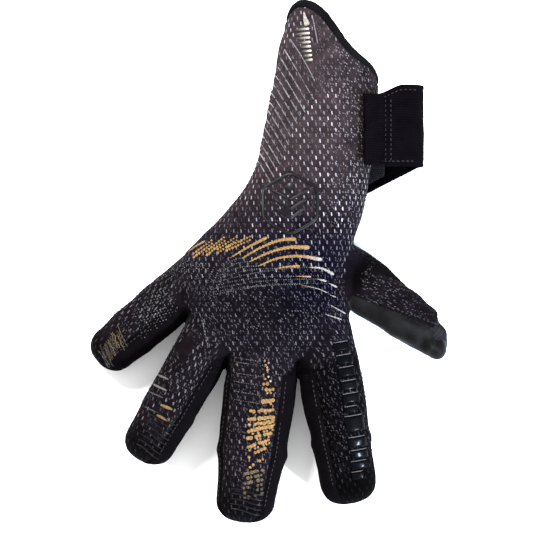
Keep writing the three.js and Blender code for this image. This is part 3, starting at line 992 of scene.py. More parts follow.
class Paint:
    """One material, built with short node calls. Values that are the same all over sit on the shader."""

    def __init__(self, name, **values):
        self.material = bpy.data.materials.new(name)
        self.material.use_nodes = True
        self.tree = self.material.node_tree
        self.shader = self.tree.nodes["Principled BSDF"]
        for socket, value in values.items():
            self.shader.inputs[socket.replace("_", " ")].default_value = value
        self.place = self.node("UVMap", uv_map="weave")
        parts = self.tree.nodes.new("ShaderNodeSeparateXYZ")
        self.put(parts.inputs[0], self.place)
        self.u, self.v = parts.outputs[0], parts.outputs[1]

    def put(self, socket, value):
        if isinstance(value, bpy.types.NodeSocket):
            self.tree.links.new(value, socket)
        else:
            socket.default_value = value

    def node(self, kind, values=(), out=0, **settings):
        node = self.tree.nodes.new("ShaderNode" + kind)
        for key, value in settings.items():
            setattr(node, key, value)
        for key, value in values.items() if isinstance(values, dict) else enumerate(values):
            self.put(node.inputs[key], value)
        return node.outputs[out]

    def math(self, operation, *values):
        return self.node("Math", values, operation=operation)

    def chain(self, operation, total, *values):
        for value in values:
            total = self.math(operation, total, value)
        return total

    def add(self, *values):
        return self.chain("ADD", *values)

    def times(self, *values):
        return self.chain("MULTIPLY", *values)

    def wave(self, value, pitch):
        return self.math("SINE", self.times(value, 2 * math.pi / pitch))

    def ramp(self, value, low, high, start=0.0, end=1.0):
        return self.node("MapRange", (value, low, high, start, end), interpolation_type="SMOOTHSTEP")

    def mix(self, factor, first, second, blend="MIX"):
        return self.node("Mix", {0: factor, 6: first, 7: second}, out=2, data_type="RGBA", blend_type=blend)

    def scaled(self, colour, factor):
        return self.node("VectorMath", {0: colour, 3: factor}, operation="SCALE")

    def noise(self, scale, detail=2.0, stretch=(1, 1, 1)):
        place = self.node("VectorMath", {0: self.place, 1: stretch}, operation="MULTIPLY")
        return self.node("TexNoise", {"Vector": place, "Scale": scale, "Detail": detail})

    def attribute(self, name, out):
        return self.node("Attribute", attribute_name=name, out=out)

    def cells(self, pitch_u, pitch_v, stagger, seed):
        """Staggered cells over the weave: place in the cell across and along, and two random values."""
        rows = self.math("DIVIDE", self.v, pitch_v)
        row = self.math("FLOOR", rows)
        shift = self.times(self.math("FLOORED_MODULO", row, 2.0), stagger)
        columns = self.add(self.math("DIVIDE", self.u, pitch_u), shift)
        column = self.math("FLOOR", columns)
        across = self.times(self.add(self.math("SUBTRACT", columns, column), -0.5), pitch_u)
        along = self.times(self.add(self.math("SUBTRACT", rows, row), -0.5), pitch_v)
        first, second = (self.node("TexWhiteNoise", {"Vector": self.node("CombineXYZ", (column, row, key))},
                                   noise_dimensions="3D") for key in (seed, seed + 7.3))
        return across, along, first, second

    def capsule(self, across, along, width, length, tilt=0.0, edge=0.14):
        """1 inside a rounded dash, 0 outside it."""
        across = self.add(across, self.times(along, tilt))
        reach = self.math("MAXIMUM", self.add(self.math("ABSOLUTE", along), (width - length) / 2), 0.0)
        distance = self.math("SQRT", self.add(self.times(across, across), self.times(reach, reach)))
        return self.ramp(distance, width / 2 + edge, width / 2 - edge)

    def loops(self):
        """The loops of the knit, from -1 to 1."""
        return self.times(self.wave(self.u, LOOP_U), self.wave(self.v, LOOP_V))

    def roughness(self, value, low, high, start, end):
        self.put(self.shader.inputs["Roughness"], self.ramp(value, low, high, start, end))

    def relief(self, height, distance):
        """Bump from a height between 0 and 1 that stands for the distance in millimetres."""
        normal = self.node("Bump", {"Strength": 1.0, "Distance": distance * MM, "Height": height})
        self.put(self.shader.inputs["Normal"], normal)

    def colour(self, value):
        self.put(self.shader.inputs["Base Color"], value)
        return self.material


def knit_paint(name, strength, roughness, gloss):
    """Warp knit with staggered light dashes floating over a dark ground, and fine glints."""
    paint = Paint(name, Specular_IOR_Level=gloss)
    blotch = paint.ramp(paint.noise(0.16, 4.0), 0.25, 0.75, 0.6, 1.4)
    ground = paint.scaled(paint.attribute("tint", 0), blotch)
    loops = paint.loops()
    ground = paint.scaled(ground, paint.ramp(loops, -1.0, 1.0, 0.74, 1.22))
    across, along, chance, other = paint.cells(4.4, 3.1, 0.5, 1.0)
    mask = paint.capsule(across, along, 0.66, 2.0, 0.14, 0.13)
    light = paint.ramp(chance, 0.0, 1.0, 0.12, 1.0)
    patches = paint.ramp(paint.noise(0.06, 3.0), 0.34, 0.62, 0.4, 1.15)
    dash = paint.times(mask, paint.attribute("dash", 2), light, patches)
    thread = paint.mix(other, (0.38, 0.345, 0.36, 1), (0.3, 0.29, 0.35, 1))
    colour = paint.mix(paint.times(dash, strength), ground, thread)
    across, along, chance, other = paint.cells(1.6, 1.45, 0.5, 4.0)
    jitter = paint.times(paint.add(other, -0.5), 0.9)
    speck = paint.capsule(paint.add(across, jitter), paint.add(along, jitter), 0.42, 0.75, 0.5, 0.16)
    speck = paint.times(speck, paint.ramp(chance, 0.45, 0.95), paint.attribute("glint", 2))
    colour = paint.mix(paint.times(speck, 0.75), colour, (0.34, 0.34, 0.38, 1))
    height = paint.add(paint.times(loops, 0.22), paint.times(mask, 0.7), paint.times(paint.noise(1.4), 0.3))
    paint.relief(height, 0.3)
    paint.roughness(paint.add(mask, speck), 0.0, 1.0, roughness, 0.42)
    return paint.colour(colour)


def ribbed_paint(name, dark, light, roughness, pitch, across_ribs=1.0, gloss=0.008, bump=0.18):
    """Plain woven or ribbed textile in one colour."""
    paint = Paint(name, Specular_IOR_Level=gloss)
    ribs, cross = paint.wave(paint.u, pitch), paint.wave(paint.v, pitch * 1.3)
    weave = paint.add(paint.times(ribs, 0.5), paint.times(cross, 0.5 * across_ribs))
    blotch = paint.noise(0.11, 4.0)
    fine = paint.noise(2.6, 2.0)
    mixed = paint.add(paint.times(weave, 0.22), paint.times(blotch, 0.7), paint.times(fine, 0.35))
    colour = paint.mix(paint.ramp(mixed, 0.15, 0.9), (*dark, 1), (*light, 1))
    paint.relief(paint.add(paint.times(weave, 0.4), fine), bump)
    paint.roughness(blotch, 0.3, 0.7, roughness - 0.08, roughness + 0.08)
    return paint.colour(colour)


def latex_paint():
    """Matt foam latex: fine pores, faint mottling and smoother patches, and painted shade that makes it
    darker low down.
    """
    paint = Paint("latex_foam", Specular_IOR_Level=0.03)
    mottle = paint.noise(0.09, 5.0)
    pores = paint.node("TexVoronoi", {"Vector": paint.place, "Scale": 1.5})
    pit = paint.ramp(pores, 0.0, 0.32)
    grain = paint.noise(3.2, 3.0)
    shade = paint.add(paint.times(mottle, 0.8), paint.times(grain, 0.25), paint.times(pit, 0.12))
    dark, light = (0.0012, 0.0010, 0.0012, 1), (0.0064, 0.0056, 0.0055, 1)
    colour = paint.mix(paint.ramp(shade, 0.3, 0.95), dark, light)
    paint.relief(paint.add(paint.times(pit, 0.5), paint.times(grain, 0.6)), 0.14)
    paint.roughness(mottle, 0.3, 0.7, 0.42, 0.62)
    # The colour is scaled by each panel's painted shade.
    return paint.colour(paint.scaled(colour, paint.attribute("shade", 2)))


def tape_paint(name, pitch, dark, light, bump):
    """Touch tape: rows of hooks or a mat of loops."""
    paint = Paint(name, Specular_IOR_Level=0.15)
    across, along, chance, _ = paint.cells(pitch, pitch, 0.5, 2.0)
    nub = paint.capsule(across, along, pitch * 0.5, pitch * 0.6, 0.3, 0.1)
    nub = paint.times(nub, paint.ramp(chance, 0, 1, 0.5, 1))
    fuzz = paint.noise(3.0, 4.0)
    paint.relief(paint.add(nub, paint.times(fuzz, 0.6)), bump)
    paint.roughness(fuzz, 0.2, 0.8, 0.55, 0.85)
    mixed = paint.add(paint.times(nub, 0.6), paint.times(fuzz, 0.4))
    return paint.colour(paint.mix(mixed, (*dark, 1), (*light, 1)))


def rubber_paint(name, colour, roughness, gloss, coat):
    """Moulded silicone or rubber: soft scuffs in the gloss, a trace of dust in the colour."""
    paint = Paint(name, Specular_IOR_Level=gloss, Coat_Weight=coat, Coat_Roughness=0.12)
    scuff = paint.noise(0.5, 5.0, (1, 2.2, 1))
    dust = paint.noise(2.2, 3.0)
    paint.relief(paint.add(scuff, paint.times(dust, 0.3)), 0.1)
    paint.roughness(scuff, 0.35, 0.75, roughness, roughness + 0.22)
    dusty = [2.2 * value + 0.0012 for value in colour]
    return paint.colour(paint.mix(paint.ramp(dust, 0.45, 0.8), (*colour, 1), (*dusty, 1)))


def print_paint():
    """Metallic print over knit: its own tint at each mark, worn thin here and there."""
    paint = Paint("metallic_print_and_highlight", Metallic=0.2, Specular_IOR_Level=0.25)
    # The tint is the print's colour, and a painted highlight on the cuff's raised lines and the grip edges.
    tint = paint.attribute("tint", 0)
    wear = paint.noise(0.9, 4.0)
    flake = paint.node("TexVoronoi", {"Vector": paint.place, "Scale": 2.4}, out=1)
    bright = paint.ramp(wear, 0.25, 0.7, 0.55, 1.25)
    speckled = paint.mix(0.22, paint.scaled(tint, bright), paint.mix(1.0, tint, flake, "MULTIPLY"))
    paint.relief(paint.add(paint.loops(), paint.times(wear, 1.2)), 0.1)
    paint.roughness(wear, 0.3, 0.7, 0.5, 0.3)
    return paint.colour(speckled)


MATERIALS = {
    "knit": knit_paint("dashed_knit", 0.95, 0.8, 0.01),
    "gusset": ribbed_paint(
        "gusset_fabric", (0.0008, 0.0006, 0.0008), (0.0028, 0.0022, 0.0026), 0.8, 0.8, gloss=0.005),
    "latex": latex_paint(),
    "lining": ribbed_paint("lining_fabric", (0.003, 0.003, 0.0035), (0.014, 0.013, 0.015), 0.9, 1.4),
    "binding": ribbed_paint(
        "rolled_binding", (0.0012, 0.0012, 0.0015), (0.005, 0.0048, 0.0056), 0.7, 0.9, 0.6),
    "strap": ribbed_paint(
        "strap_fabric", (0.0004, 0.0003, 0.0005), (0.0025, 0.0018, 0.0027), 0.72, 1.1, 0.8,
        gloss=0.005, bump=0.3),
    "hook": tape_paint("hook_tape", 1.3, (0.0018, 0.0018, 0.002), (0.016, 0.016, 0.018), 0.5),
    "loop": tape_paint("loop_tape", 0.9, (0.002, 0.002, 0.0025), (0.011, 0.0105, 0.012), 0.35),
    "silicone": rubber_paint("silicone_grip", (0.0006, 0.0007, 0.0012), 0.22, 0.012, 0.02),
    "emblem": rubber_paint("emblem_rubber", (0.0016, 0.0015, 0.002), 0.34, 0.12, 0.04),
    "print": print_paint(),
    "thread": ribbed_paint(
        "sewing_thread", (0.003, 0.003, 0.004), (0.013, 0.012, 0.015), 0.6, 0.5, 0.2, gloss=0.15),
}


# ---- The glove's panels, one for each CAD shell --------------------------------------------------

def make_panels():
    """Sorts the triangles between the seams, and makes a panel from each group."""
    taken = np.zeros(len(whole.triangles), bool)
    centres = whole.points[whole.triangles].mean(1)
    for name in ORDER:
        digit = digits[name]
        own = in_digit(centres, name)
        taken |= own
        far = whole.side(lambda p: digit.reach(p) - digit.border) > 0
        for segment, along in (("proximal", ~far), ("distal", far)):
            region = f"{name}_{segment}"
            if name == "thumb":
                latex = whole.side(lambda p: thumb_wrap(*digit.local(p)[:3])) < 0
                saddle = ~latex & (whole.side(lambda p: thumb_saddle(*digit.local(p)[:2])) > 0)
                parts = {"back": ~latex & ~saddle, "palm": latex, "saddle": saddle}
            else:
                thumb_side, little_side, palm = (
                    whole.side(lambda p: finger_seams(digit, digit.local(p)[3])[k]) > 0 for k in range(3))
                parts = {"palm": palm, "thumb_side": thumb_side & ~palm, "little_side": little_side & ~palm,
                         "back": ~(thumb_side | little_side | palm)}
            for part, chosen in parts.items():
                chosen = chosen & own & along
                if not chosen.any():
                    continue
                material, slot = {"back": ("knit", "back_fabric"), "palm": ("latex", "palm_latex")}.get(
                    part, ("gusset", "gusset_fabric"))
                node = f"{region}_{part}"
                panel(f"{node}_panel", region, chosen, material,
                      (node,) if node in frame["nodes"] else ())
    upper = whole.side(side_seam_field) > 0
    cuff = whole.side(cuff_field) > 0
    body = ~taken & (whole.side(mouth_field) < 0)
    for node, chosen, material, slot in (
            ("hand_back", ~cuff & upper, "knit", "back_fabric"),
            ("hand_palm", ~cuff & ~upper, "latex", "palm_latex"),
            ("cuff_back", cuff & upper, "knit", "cuff_fabric"),
            ("cuff_palm", cuff & ~upper, "knit", "cuff_fabric")):
        panel(f"{node}_panel", node.split("_")[0], body & chosen, material, (node,))


make_panels()


# ---- Places on the skin --------------------------------------------------------------------------

ABOVE = 90                          # a height above the whole glove


def drop(x, y):
    """The highest place on the skin at x, y, and the skin's normal there."""
    hit = skin_tree.ray_cast(Vector((x, y, ABOVE)), Vector((0, 0, -1)))[0]
    if hit is None:
        return None
    return np.array(hit), normal_at(hit)


def outward(origin, direction):
    """Where a ray from inside the glove meets the skin."""
    hit = skin_tree.ray_cast(Vector(origin), Vector(direction / np.linalg.norm(direction)))[0]
    return np.array(hit), normal_at(hit)


def on_digit(digit, s, angle):
    turn = math.radians(angle)
    width, height = (float(digit.half(s, column)) for column in (1, 2))
    way = digit.across * width * math.sin(turn) + UP * height * math.cos(turn)
    return outward(digit.axis_point(s), way)


def on_body(y, angle):
    centre, width, middle, height = (float(value) for value in body_at(y))
    turn = math.radians(angle)
    way = np.array([width * math.sin(turn), 0, height * math.cos(turn)])
    return outward(np.array([centre, y, middle]), way)


def beside(digit, s, v):
    """On top of a digit: distance along it and across it."""
    place = digit.root + digit.along * s + digit.across * v
    return drop(place[0], place[1])


def curve_through(places, step):
    """Points at an even step along a smooth curve through the places."""
    places = np.array(places, float)
    along = distance_along(places)
    count = max(int(round(along[-1] / step)), 2)
    at = np.linspace(0, along[-1], count + 1)
    if len(places) == 2:
        return np.stack([np.interp(at, along, column) for column in places.T], 1)
    return np.stack([smooth_steps(at, along, column) for column in places.T], 1)


def dropped(places, step=0.8):
    found = [drop(*spot[:2]) for spot in curve_through(places, step)]
    return [spot for spot in found if spot is not None]


# ---- Small closed bodies -------------------------------------------------------------------------

def sweep(points, ups, profile, scale=None, closed=False):
    """A section, given across and up, carried along a line."""
    points, ups = np.asarray(points), np.asarray(ups)
    if closed:
        tangents = np.roll(points, -1, 0) - np.roll(points, 1, 0)
    else:
        tangents = np.gradient(points, axis=0)
    sides = unit_rows(np.cross(ups, unit_rows(tangents)))
    profile = np.broadcast_to(profile, (len(points), *np.shape(profile)[-2:]))
    if scale is not None:
        profile = profile * np.asarray(scale)[:, None, :]
    rings = points[:, None] + profile[..., :1] * sides[:, None] + profile[..., 1:] * ups[:, None]
    return rings.reshape(-1, 3), tube_faces(*rings.shape[:2], closed)


SUNK = 0.35                         # how far raised marks reach into the skin
# The section of a raised line: across in half widths, and up in heights above the skin.
LENS = np.array([(-1, -1), (-0.86, 0.45), (-0.4, 1), (0.4, 1), (0.86, 0.45), (1, -1)], float)


def raised(line, width, height, closed=False, blunt=0.5):
    """A raised line on the skin with rounded edges and ends."""
    points, ups = map(np.array, zip(*line))
    count = len(points)
    widths = np.broadcast_to(width, count) / 2
    ends = np.ones(count)
    if not closed:
        place = np.minimum(np.arange(count), np.arange(count)[::-1]) + 0.5
        ends = np.clip(place * blunt, 0.35, 1) ** 0.6
    profile = np.repeat(LENS[None], count, 0)
    profile[..., 0] *= (widths * ends)[:, None]
    profile[..., 1] = np.where(profile[..., 1] > 0, profile[..., 1] * height * ends[:, None], -SUNK)
    return sweep(points, ups, profile, closed=closed)


def dot(spot, radius, height, sides=8, turn=0.0):
    """A domed spot on the skin; four sides give a printed square."""
    place, up = spot
    side = np.cross(up, [0.31, 0.9, 0.3])
    side /= np.linalg.norm(side)
    other = np.cross(up, side)
    angles = np.linspace(0, 2 * np.pi, sides, endpoint=False) + turn
    ring = np.outer(np.cos(angles), side) + np.outer(np.sin(angles), other)
    rings = [place + ring * radius - up * SUNK, place + ring * radius * 0.92 + up * height * 0.6,
             place + ring * radius * 0.5 + up * height]
    return np.vstack(rings), tube_faces(3, sides)


# Shares at which a pad has its points, closer together at its rounded edges.
BEVELLED = np.array([0, 0.05, 0.13, 0.3, 0.5, 0.7, 0.87, 0.95, 1])


def pad(place_at, height):
    """A raised pad: place_at gives the skin at two shares between 0 and 1."""
    size = len(BEVELLED)
    grid = [[place_at(a, b) for b in BEVELLED] for a in BEVELLED]
    spots = np.array([[spot[0] for spot in row] for row in grid])
    ups = np.array([[spot[1] for spot in row] for row in grid])
    edge = np.minimum(np.arange(size), np.arange(size)[::-1])
    ring = np.minimum(edge[:, None], edge[None])
    lift = np.select([ring == 0, ring == 1, ring == 2], [-SUNK, 0.72 * height, 0.95 * height], height)
    top = (spots + ups * lift[..., None]).reshape(-1, 3)
    bottom = (spots - ups * (SUNK + 0.1)).reshape(-1, 3)
    faces = []
    for i in range(size - 1):
        for j in range(size - 1):
            corners = (i * size + j, (i + 1) * size + j, (i + 1) * size + j + 1, i * size + j + 1)
            faces += [corners, tuple(size * size + corner for corner in corners[::-1])]
    border = [i * size for i in range(size)] + [(size - 1) * size + j for j in range(1, size)]
    border += [i * size + size - 1 for i in range(size - 2, -1, -1)] + list(range(size - 2, 0, -1))
    for first, second in zip(border, border[1:] + border[:1]):
        faces.append((second, first, first + size * size, second + size * size))
    return np.vstack([top, bottom]), faces


class Pile:
    """Small bodies gathered into one piece for each part of the glove that they belong to."""

    def __init__(self, name, material, slot, tint=(0.02, 0.02, 0.02), replaced=None):
        self.name, self.material, self.slot, self.tint = name, MATERIALS[material], slot, tint
        self.replaced = replaced or {}
        self.parts = {}

    def add(self, body, tint=None, region=None):
        points, faces = body
        region = region or region_of(points.mean(0))
        held = self.parts.setdefault(region, ([], [], []))
        base = sum(len(block) for block in held[0])
        held[0].append(points)
        held[1].extend(tuple(base + i for i in face) for face in faces)
        held[2].append(np.broadcast_to(self.tint if tint is None else tint, (len(points), 3)))

    def make(self):
        for region, (points, faces, tints) in self.parts.items():
            points = np.vstack(points)
            name = self.name if len(self.parts) == 1 else f"{self.name}_{region}"
            obj = new_piece(name, points, faces, [self.material], self.replaced.get(region, ()))
            turn_faces_outward(obj.data)
            finish_piece(obj, weave_of(points), np.vstack(tints))
            attach(obj, region)


# ---- Printed marks -------------------------------------------------------------------------------

GOLD = paint_linear(186, 141, 78)
PALE = paint_linear(205, 196, 186)
BRONZE = paint_linear(118, 98, 62)
# Silver for printed dots, and for the painted highlights on the cuff's raised lines and the grip blocks'
# edges.
SILVER_PRINT_AND_HIGHLIGHT = paint_linear(150, 148, 152)
SMOKE = paint_linear(84, 80, 84)
PRINT_HEIGHT, DOT_HEIGHT, LINE_HEIGHT = 0.42, 0.25, 0.4
HALFTONE_PITCH = 1.75
BLOB_SIZE = 1.12

# The sunburst over the knuckles: each stroke's places in X and Y, and its width.
STROKES = [
    ([(-46.8, 5.6), (-42.6, 8.6), (-37.2, 11.6)], 1.5), ([(-23, 2.2), (-15.1, 7), (-2.9, 13.4)], 1.6),
    ([(-16.6, 1.9), (-6, 7.9), (6.2, 12.2), (13.2, 12.5)], 1.9),
    ([(-12.6, 0), (-2.9, 4.6), (9.2, 7.9), (20.5, 7.9)], 2.1),
    ([(-7.8, -2.4), (3.1, 1.9), (14.1, 3.1), (27.4, 1.3)], 1.9),
    ([(2.5, -3.6), (9, -2.7), (15.3, -2.4)], 1.5), ([(20.2, -3), (27.4, -3.6), (34.1, -6.9)], 1.6),
    ([(12.9, -7.9), (21.4, -8.2)], 1.0), ([(25, -9.4), (29.9, -10.6)], 1.3),
    ([(31.4, -11.8), (35.9, -13.9)], 1.3),
    ([(14.7, -12.4), (21.4, -13.9), (26.2, -15.1), (30.5, -17)], 0.6), ([(32, -18.2), (35.3, -19.4)], 0.8),
    ([(31.7, -23.6), (40.8, -28.5)], 0.8), ([(29.3, -28.8), (38.4, -31.8)], 0.8),
]
# The bands of gold squares beside it: each band's ends, and the size of its squares.
HALFTONES = [
    ([(-43.6, 3.4), (-31.8, 11.9)], 1.5), ([(-36.3, 4.6), (-24.8, 13.7)], 1.5),
    ([(-30.3, 5.8), (-18.1, 13.7)], 1.3), ([(-25.4, 7), (-10.5, 13.7)], 1.4),
]


def make_sunburst():
    """Gold strokes over the knuckles, halftone bands beside them and fine dotted rays."""
    pile = Pile("knuckle_print", "print", "gold_print", GOLD)
    chance = random.Random(5)
    for places, width in STROKES:
        line = dropped(places, 0.4)
        share = np.linspace(0, 1, len(line))
        beads = 1 - 0.62 * (1 - share) ** 0.6 * np.abs(np.sin(np.arange(len(line)) * 0.4 * np.pi / 1.9)) ** 2
        wide = 1.3 * width * (0.42 + 0.58 * share ** 0.6) * beads
        xs = np.repeat([spot[0][0] for spot in line], len(LENS))
        pale = rise_between(xs, 15, 27)[:, None]
        pile.add(raised(line, wide, PRINT_HEIGHT, blunt=0.35), GOLD + pale * (PALE - GOLD))
    for places, size in HALFTONES:
        (x0, y0), (x1, y1) = places
        length = math.hypot(x1 - x0, y1 - y0)
        along = np.array([x1 - x0, y1 - y0]) / length
        across = np.array([-along[1], along[0]])
        for row in (-0.5, 0.5):
            for k in range(int(length / HALFTONE_PITCH)):
                place = np.array([x0, y0]) + along * (HALFTONE_PITCH * k + 0.9 * (row > 0))
                place = place + across * row * 1.7
                side = size * (0.72 - 0.2 * k / (length / HALFTONE_PITCH)) * chance.uniform(0.85, 1.1)
                pile.add(dot(drop(*place), side, PRINT_HEIGHT, 4, 0.9), GOLD * chance.uniform(0.8, 1.15))
    # Fine dotted rays carry each arc on towards the little finger.
    for k, (places, _) in enumerate(STROKES[1:11]):
        start = np.array(places[0])
        end = np.array([-25.5 - 1.0 * k, -1.5 - 1.9 * k])
        length = max(np.linalg.norm(end - start), 1.0)
        for step in np.arange(1.2, length, 1.25):
            share = step / length
            place = start + (end - start) * share + np.array([0, 1.6 * math.sin(math.pi * share)])
            fade = chance.uniform(0.2, 0.85) * (1 - 0.45 * share)
            pile.add(dot(drop(*place), chance.uniform(0.26, 0.44), DOT_HEIGHT, 6), SILVER_PRINT_AND_HIGHLIGHT * fade, "hand")
    # Nine more fan out from the burst's left end.
    for k in range(9):
        start, way = np.array([-47 + 2.6 * k, 0.5 - 0.4 * k]), np.array([-0.86 + 0.07 * k, -0.5 - 0.07 * k])
        for step in np.arange(0, 17, 1.3):
            spot = drop(*start + way * step)
            if spot is not None and chance.random() < 0.85:
                body = dot(spot, chance.uniform(0.28, 0.46), DOT_HEIGHT, 6)
                pile.add(body, SILVER_PRINT_AND_HIGHLIGHT * chance.uniform(0.3, 1.0) * (1 - 0.04 * step))
    pile.make()


def make_finger_prints():
    """Gold blobs and rows of dots down the fingers."""
    pile = Pile("finger_print", "print", "gold_print", GOLD)
    chance = random.Random(11)

    def blob(x, y, radius, tint):
        spot = drop(x, y)
        if spot is not None:
            body = dot(spot, radius, PRINT_HEIGHT, 8, chance.uniform(0, 1))
            pile.add(body, tint * chance.uniform(0.82, 1.12))

    # The column of blobs down the middle finger: first a few single ones, then rows of place, left and
    # right end, rise and size.
    for y in (-54.5, -57, -59.6, -62.2, -64.6):
        blob(-3.7 + chance.uniform(-1.6, 1.2), y, chance.uniform(0.45, 0.85), GOLD)
        blob(-1.9 + chance.uniform(-1, 1), y - 1.2, chance.uniform(0.35, 0.7), PALE)
    rows = [(-67.2, -4.6, -0.6, 0.0, 1.0), (-70.6, -5.0, 0.4, 0.2, 1.15), (-76.7, -4.9, 0.4, 0.5, 1.35),
            (-82.1, -11.8, 0.4, 0.8, 1.2), (-86.6, -12.8, 0.4, 1.4, 1.3), (-89.2, -12.6, 0.3, 1.8, 1.2),
            (-92.4, -12.9, -0.4, 2.4, 1.25), (-96.2, -13.4, -1.0, 3.0, 1.25),
            (-100.6, -13.2, -2.2, 4.0, 1.15),
            (-105.4, -12.8, -4.2, 5.0, 1.05), (-111.6, -12.2, -5.2, 4.6, 0.9)]
    for y, left, right, lift, size in rows:
        count = int((right - left) / 1.45) + 1
        for k in range(count):
            share = k / max(count - 1, 1)
            if chance.random() < 0.88:
                blob(left + (right - left) * share, y + lift * (share - 0.5) + chance.uniform(-0.35, 0.35),
                     BLOB_SIZE * size * chance.uniform(0.72, 1.0), GOLD)
            if chance.random() < 0.35 * (size > 1.1):
                blob(left + (right - left) * share + 0.6, y - 1.7 + lift * (share - 0.5), 0.6 * size, GOLD)
    for y in np.arange(-116.5, -131, -2.7):
        fade = 1 - (-116.5 - y) / 20
        for x in np.arange(-15.4, -5.2, 1.9):
            if chance.random() < 0.8:
                blob(x + chance.uniform(-0.5, 0.5), y + (x + 10) * 0.22, chance.uniform(0.8, 1.25),
                     BRONZE * fade)
    # Rows of fine dots across the middle finger.
    for y in (-54.0, -56.3, -62.4, -67.2, -72.6, -77.3):
        for x in np.arange(-20.6, -5.8, 0.95):
            blob(x, y - 0.16 * (x + 13), chance.uniform(0.2, 0.34), SILVER_PRINT_AND_HIGHLIGHT * chance.uniform(0.3, 1.0))
    # Ring finger: slanting strokes, two of them gold, and a bright dotted line up the finger.
    for (x0, y0), (x1, y1), width, tint in (
            ((-66.5, -61.6), (-57.5, -65.0), 1.3, PALE * 0.4),
            ((-68.5, -67.0), (-58.5, -71.2), 1.2, PALE * 0.45),
            ((-68.2, -72.2), (-60.5, -75.2), 0.9, SMOKE), ((-62.0, -79.2), (-55.4, -81.8), 1.9, GOLD * 0.75),
            ((-64.2, -85.0), (-57.0, -88.4), 1.9, GOLD * 0.75), ((-71.0, -80.5), (-64.0, -83.6), 0.8, SMOKE)):
        pile.add(raised(dropped([(x0, y0), (x1, y1)], 0.6), width, PRINT_HEIGHT, blunt=0.3), tint)
    for k in range(18):
        blob(-38.5 + 2.9 * k / 17 + chance.uniform(-0.3, 0.3), -32.2 - 14.8 * k / 17,
             chance.uniform(0.22, 0.4), SILVER_PRINT_AND_HIGHLIGHT)
    # Little finger: rows of glints, and an olive scribble over the tip.
    pinky = digits["pinky"]
    for k, s in enumerate(np.arange(-8, 26, 1.75)):
        for v in np.arange(-7.5 + (k % 2) * 0.8, 7.5, 1.6):
            spot = beside(pinky, s + 0.2 * v, v)
            fade = math.exp(-((s - 9) / 12) ** 2) * chance.uniform(0.1, 1.0)
            if spot is not None and fade > 0.2:
                pile.add(dot(spot, chance.uniform(0.26, 0.5), DOT_HEIGHT, 6), SILVER_PRINT_AND_HIGHLIGHT * fade)
    for k in range(15):
        s, v = 30 + k * 1.15, chance.uniform(-9, -5)
        line = [beside(pinky, s + 0.3 * step + chance.uniform(-0.5, 0.5), v + step)
                for step in np.arange(0, 10, 0.8)]
        line = [spot for spot in line if spot is not None]
        if len(line) > 4:
            pile.add(raised(line, chance.uniform(0.45, 0.9), 0.3), BRONZE * chance.uniform(0.2, 0.75))
    pile.make()


def make_cuff_prints():
    """Raised glossy lines and bars on the cuff, painted silver and pale as their highlights."""
    pile = Pile("cuff_print_highlights", "print", "silicone", SILVER_PRINT_AND_HIGHLIGHT)
    chance = random.Random(23)
    # Slanting broken lines on the little-finger side of the cuff.
    for k in range(14):
        share = k / 13
        start = np.array(slanting_start(share))
        reach, at = 33 - 16 * share, 0.0
        while at < reach:
            length = chance.uniform(2.5, 8.5)
            place = [start + np.array([SLANT_X, SLANT_Y]) * (at + step)
                     for step in (0, min(length, reach - at))]
            # Each dash's painted highlight is brighter or dimmer at random and fades along the line.
            bright = chance.uniform(0.7, 1.6) * (1 - 0.3 * at / reach)
            if reach - at > 0.9:
                pile.add(raised(dropped(place, 0.6), chance.uniform(0.6, 0.85), LINE_HEIGHT), SILVER_PRINT_AND_HIGHLIGHT * bright)
            at += length + chance.uniform(0.5, 1.3)
    # A ladder of short bars below the mouth's peak, each painted from dark to white along its length as its
    # highlight, a bright wedge above it and two fine lines beside it.
    for k in range(8):
        left, right, y = 12.8 + 0.8 * max(k - 1, 0), 20.4 + 0.26 * k, 128.4 - 2.45 * k
        line = dropped([(left, y - 0.2), (right, y + 0.2)], 0.6)
        shade = np.repeat(np.linspace(0.15, 1.45, len(line)) ** 2.2, len(LENS))[:, None]
        pile.add(raised(line, 1.4, 0.34, blunt=0.8), PALE * shade)
    line = dropped([(17.6, 138.2), (18.2, 134.4), (19.4, 130.4)], 0.5)
    pile.add(raised(line, np.linspace(0.8, 4.0, len(line)), 0.5), PALE * 1.1)
    for places in ([(9.9, 123.6), (17.4, 111.4), (23.5, 99.5)], [(22.4, 134.6), (25.2, 119.9)]):
        pile.add(raised(dropped(places, 0.8), 0.65, LINE_HEIGHT), SILVER_PRINT_AND_HIGHLIGHT * 1.2)
    pile.make()


# ---- Emblem and grip blocks ----------------------------------------------------------------------

EMBLEM_CENTRE = (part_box("back_emblem")[0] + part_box("back_emblem")[1]) / 2 / MM
EMBLEM_RADIUS = 17.2


def emblem_spot(angle, radius):
    return EMBLEM_CENTRE[:2] + radius * np.array([math.cos(angle), math.sin(angle)])


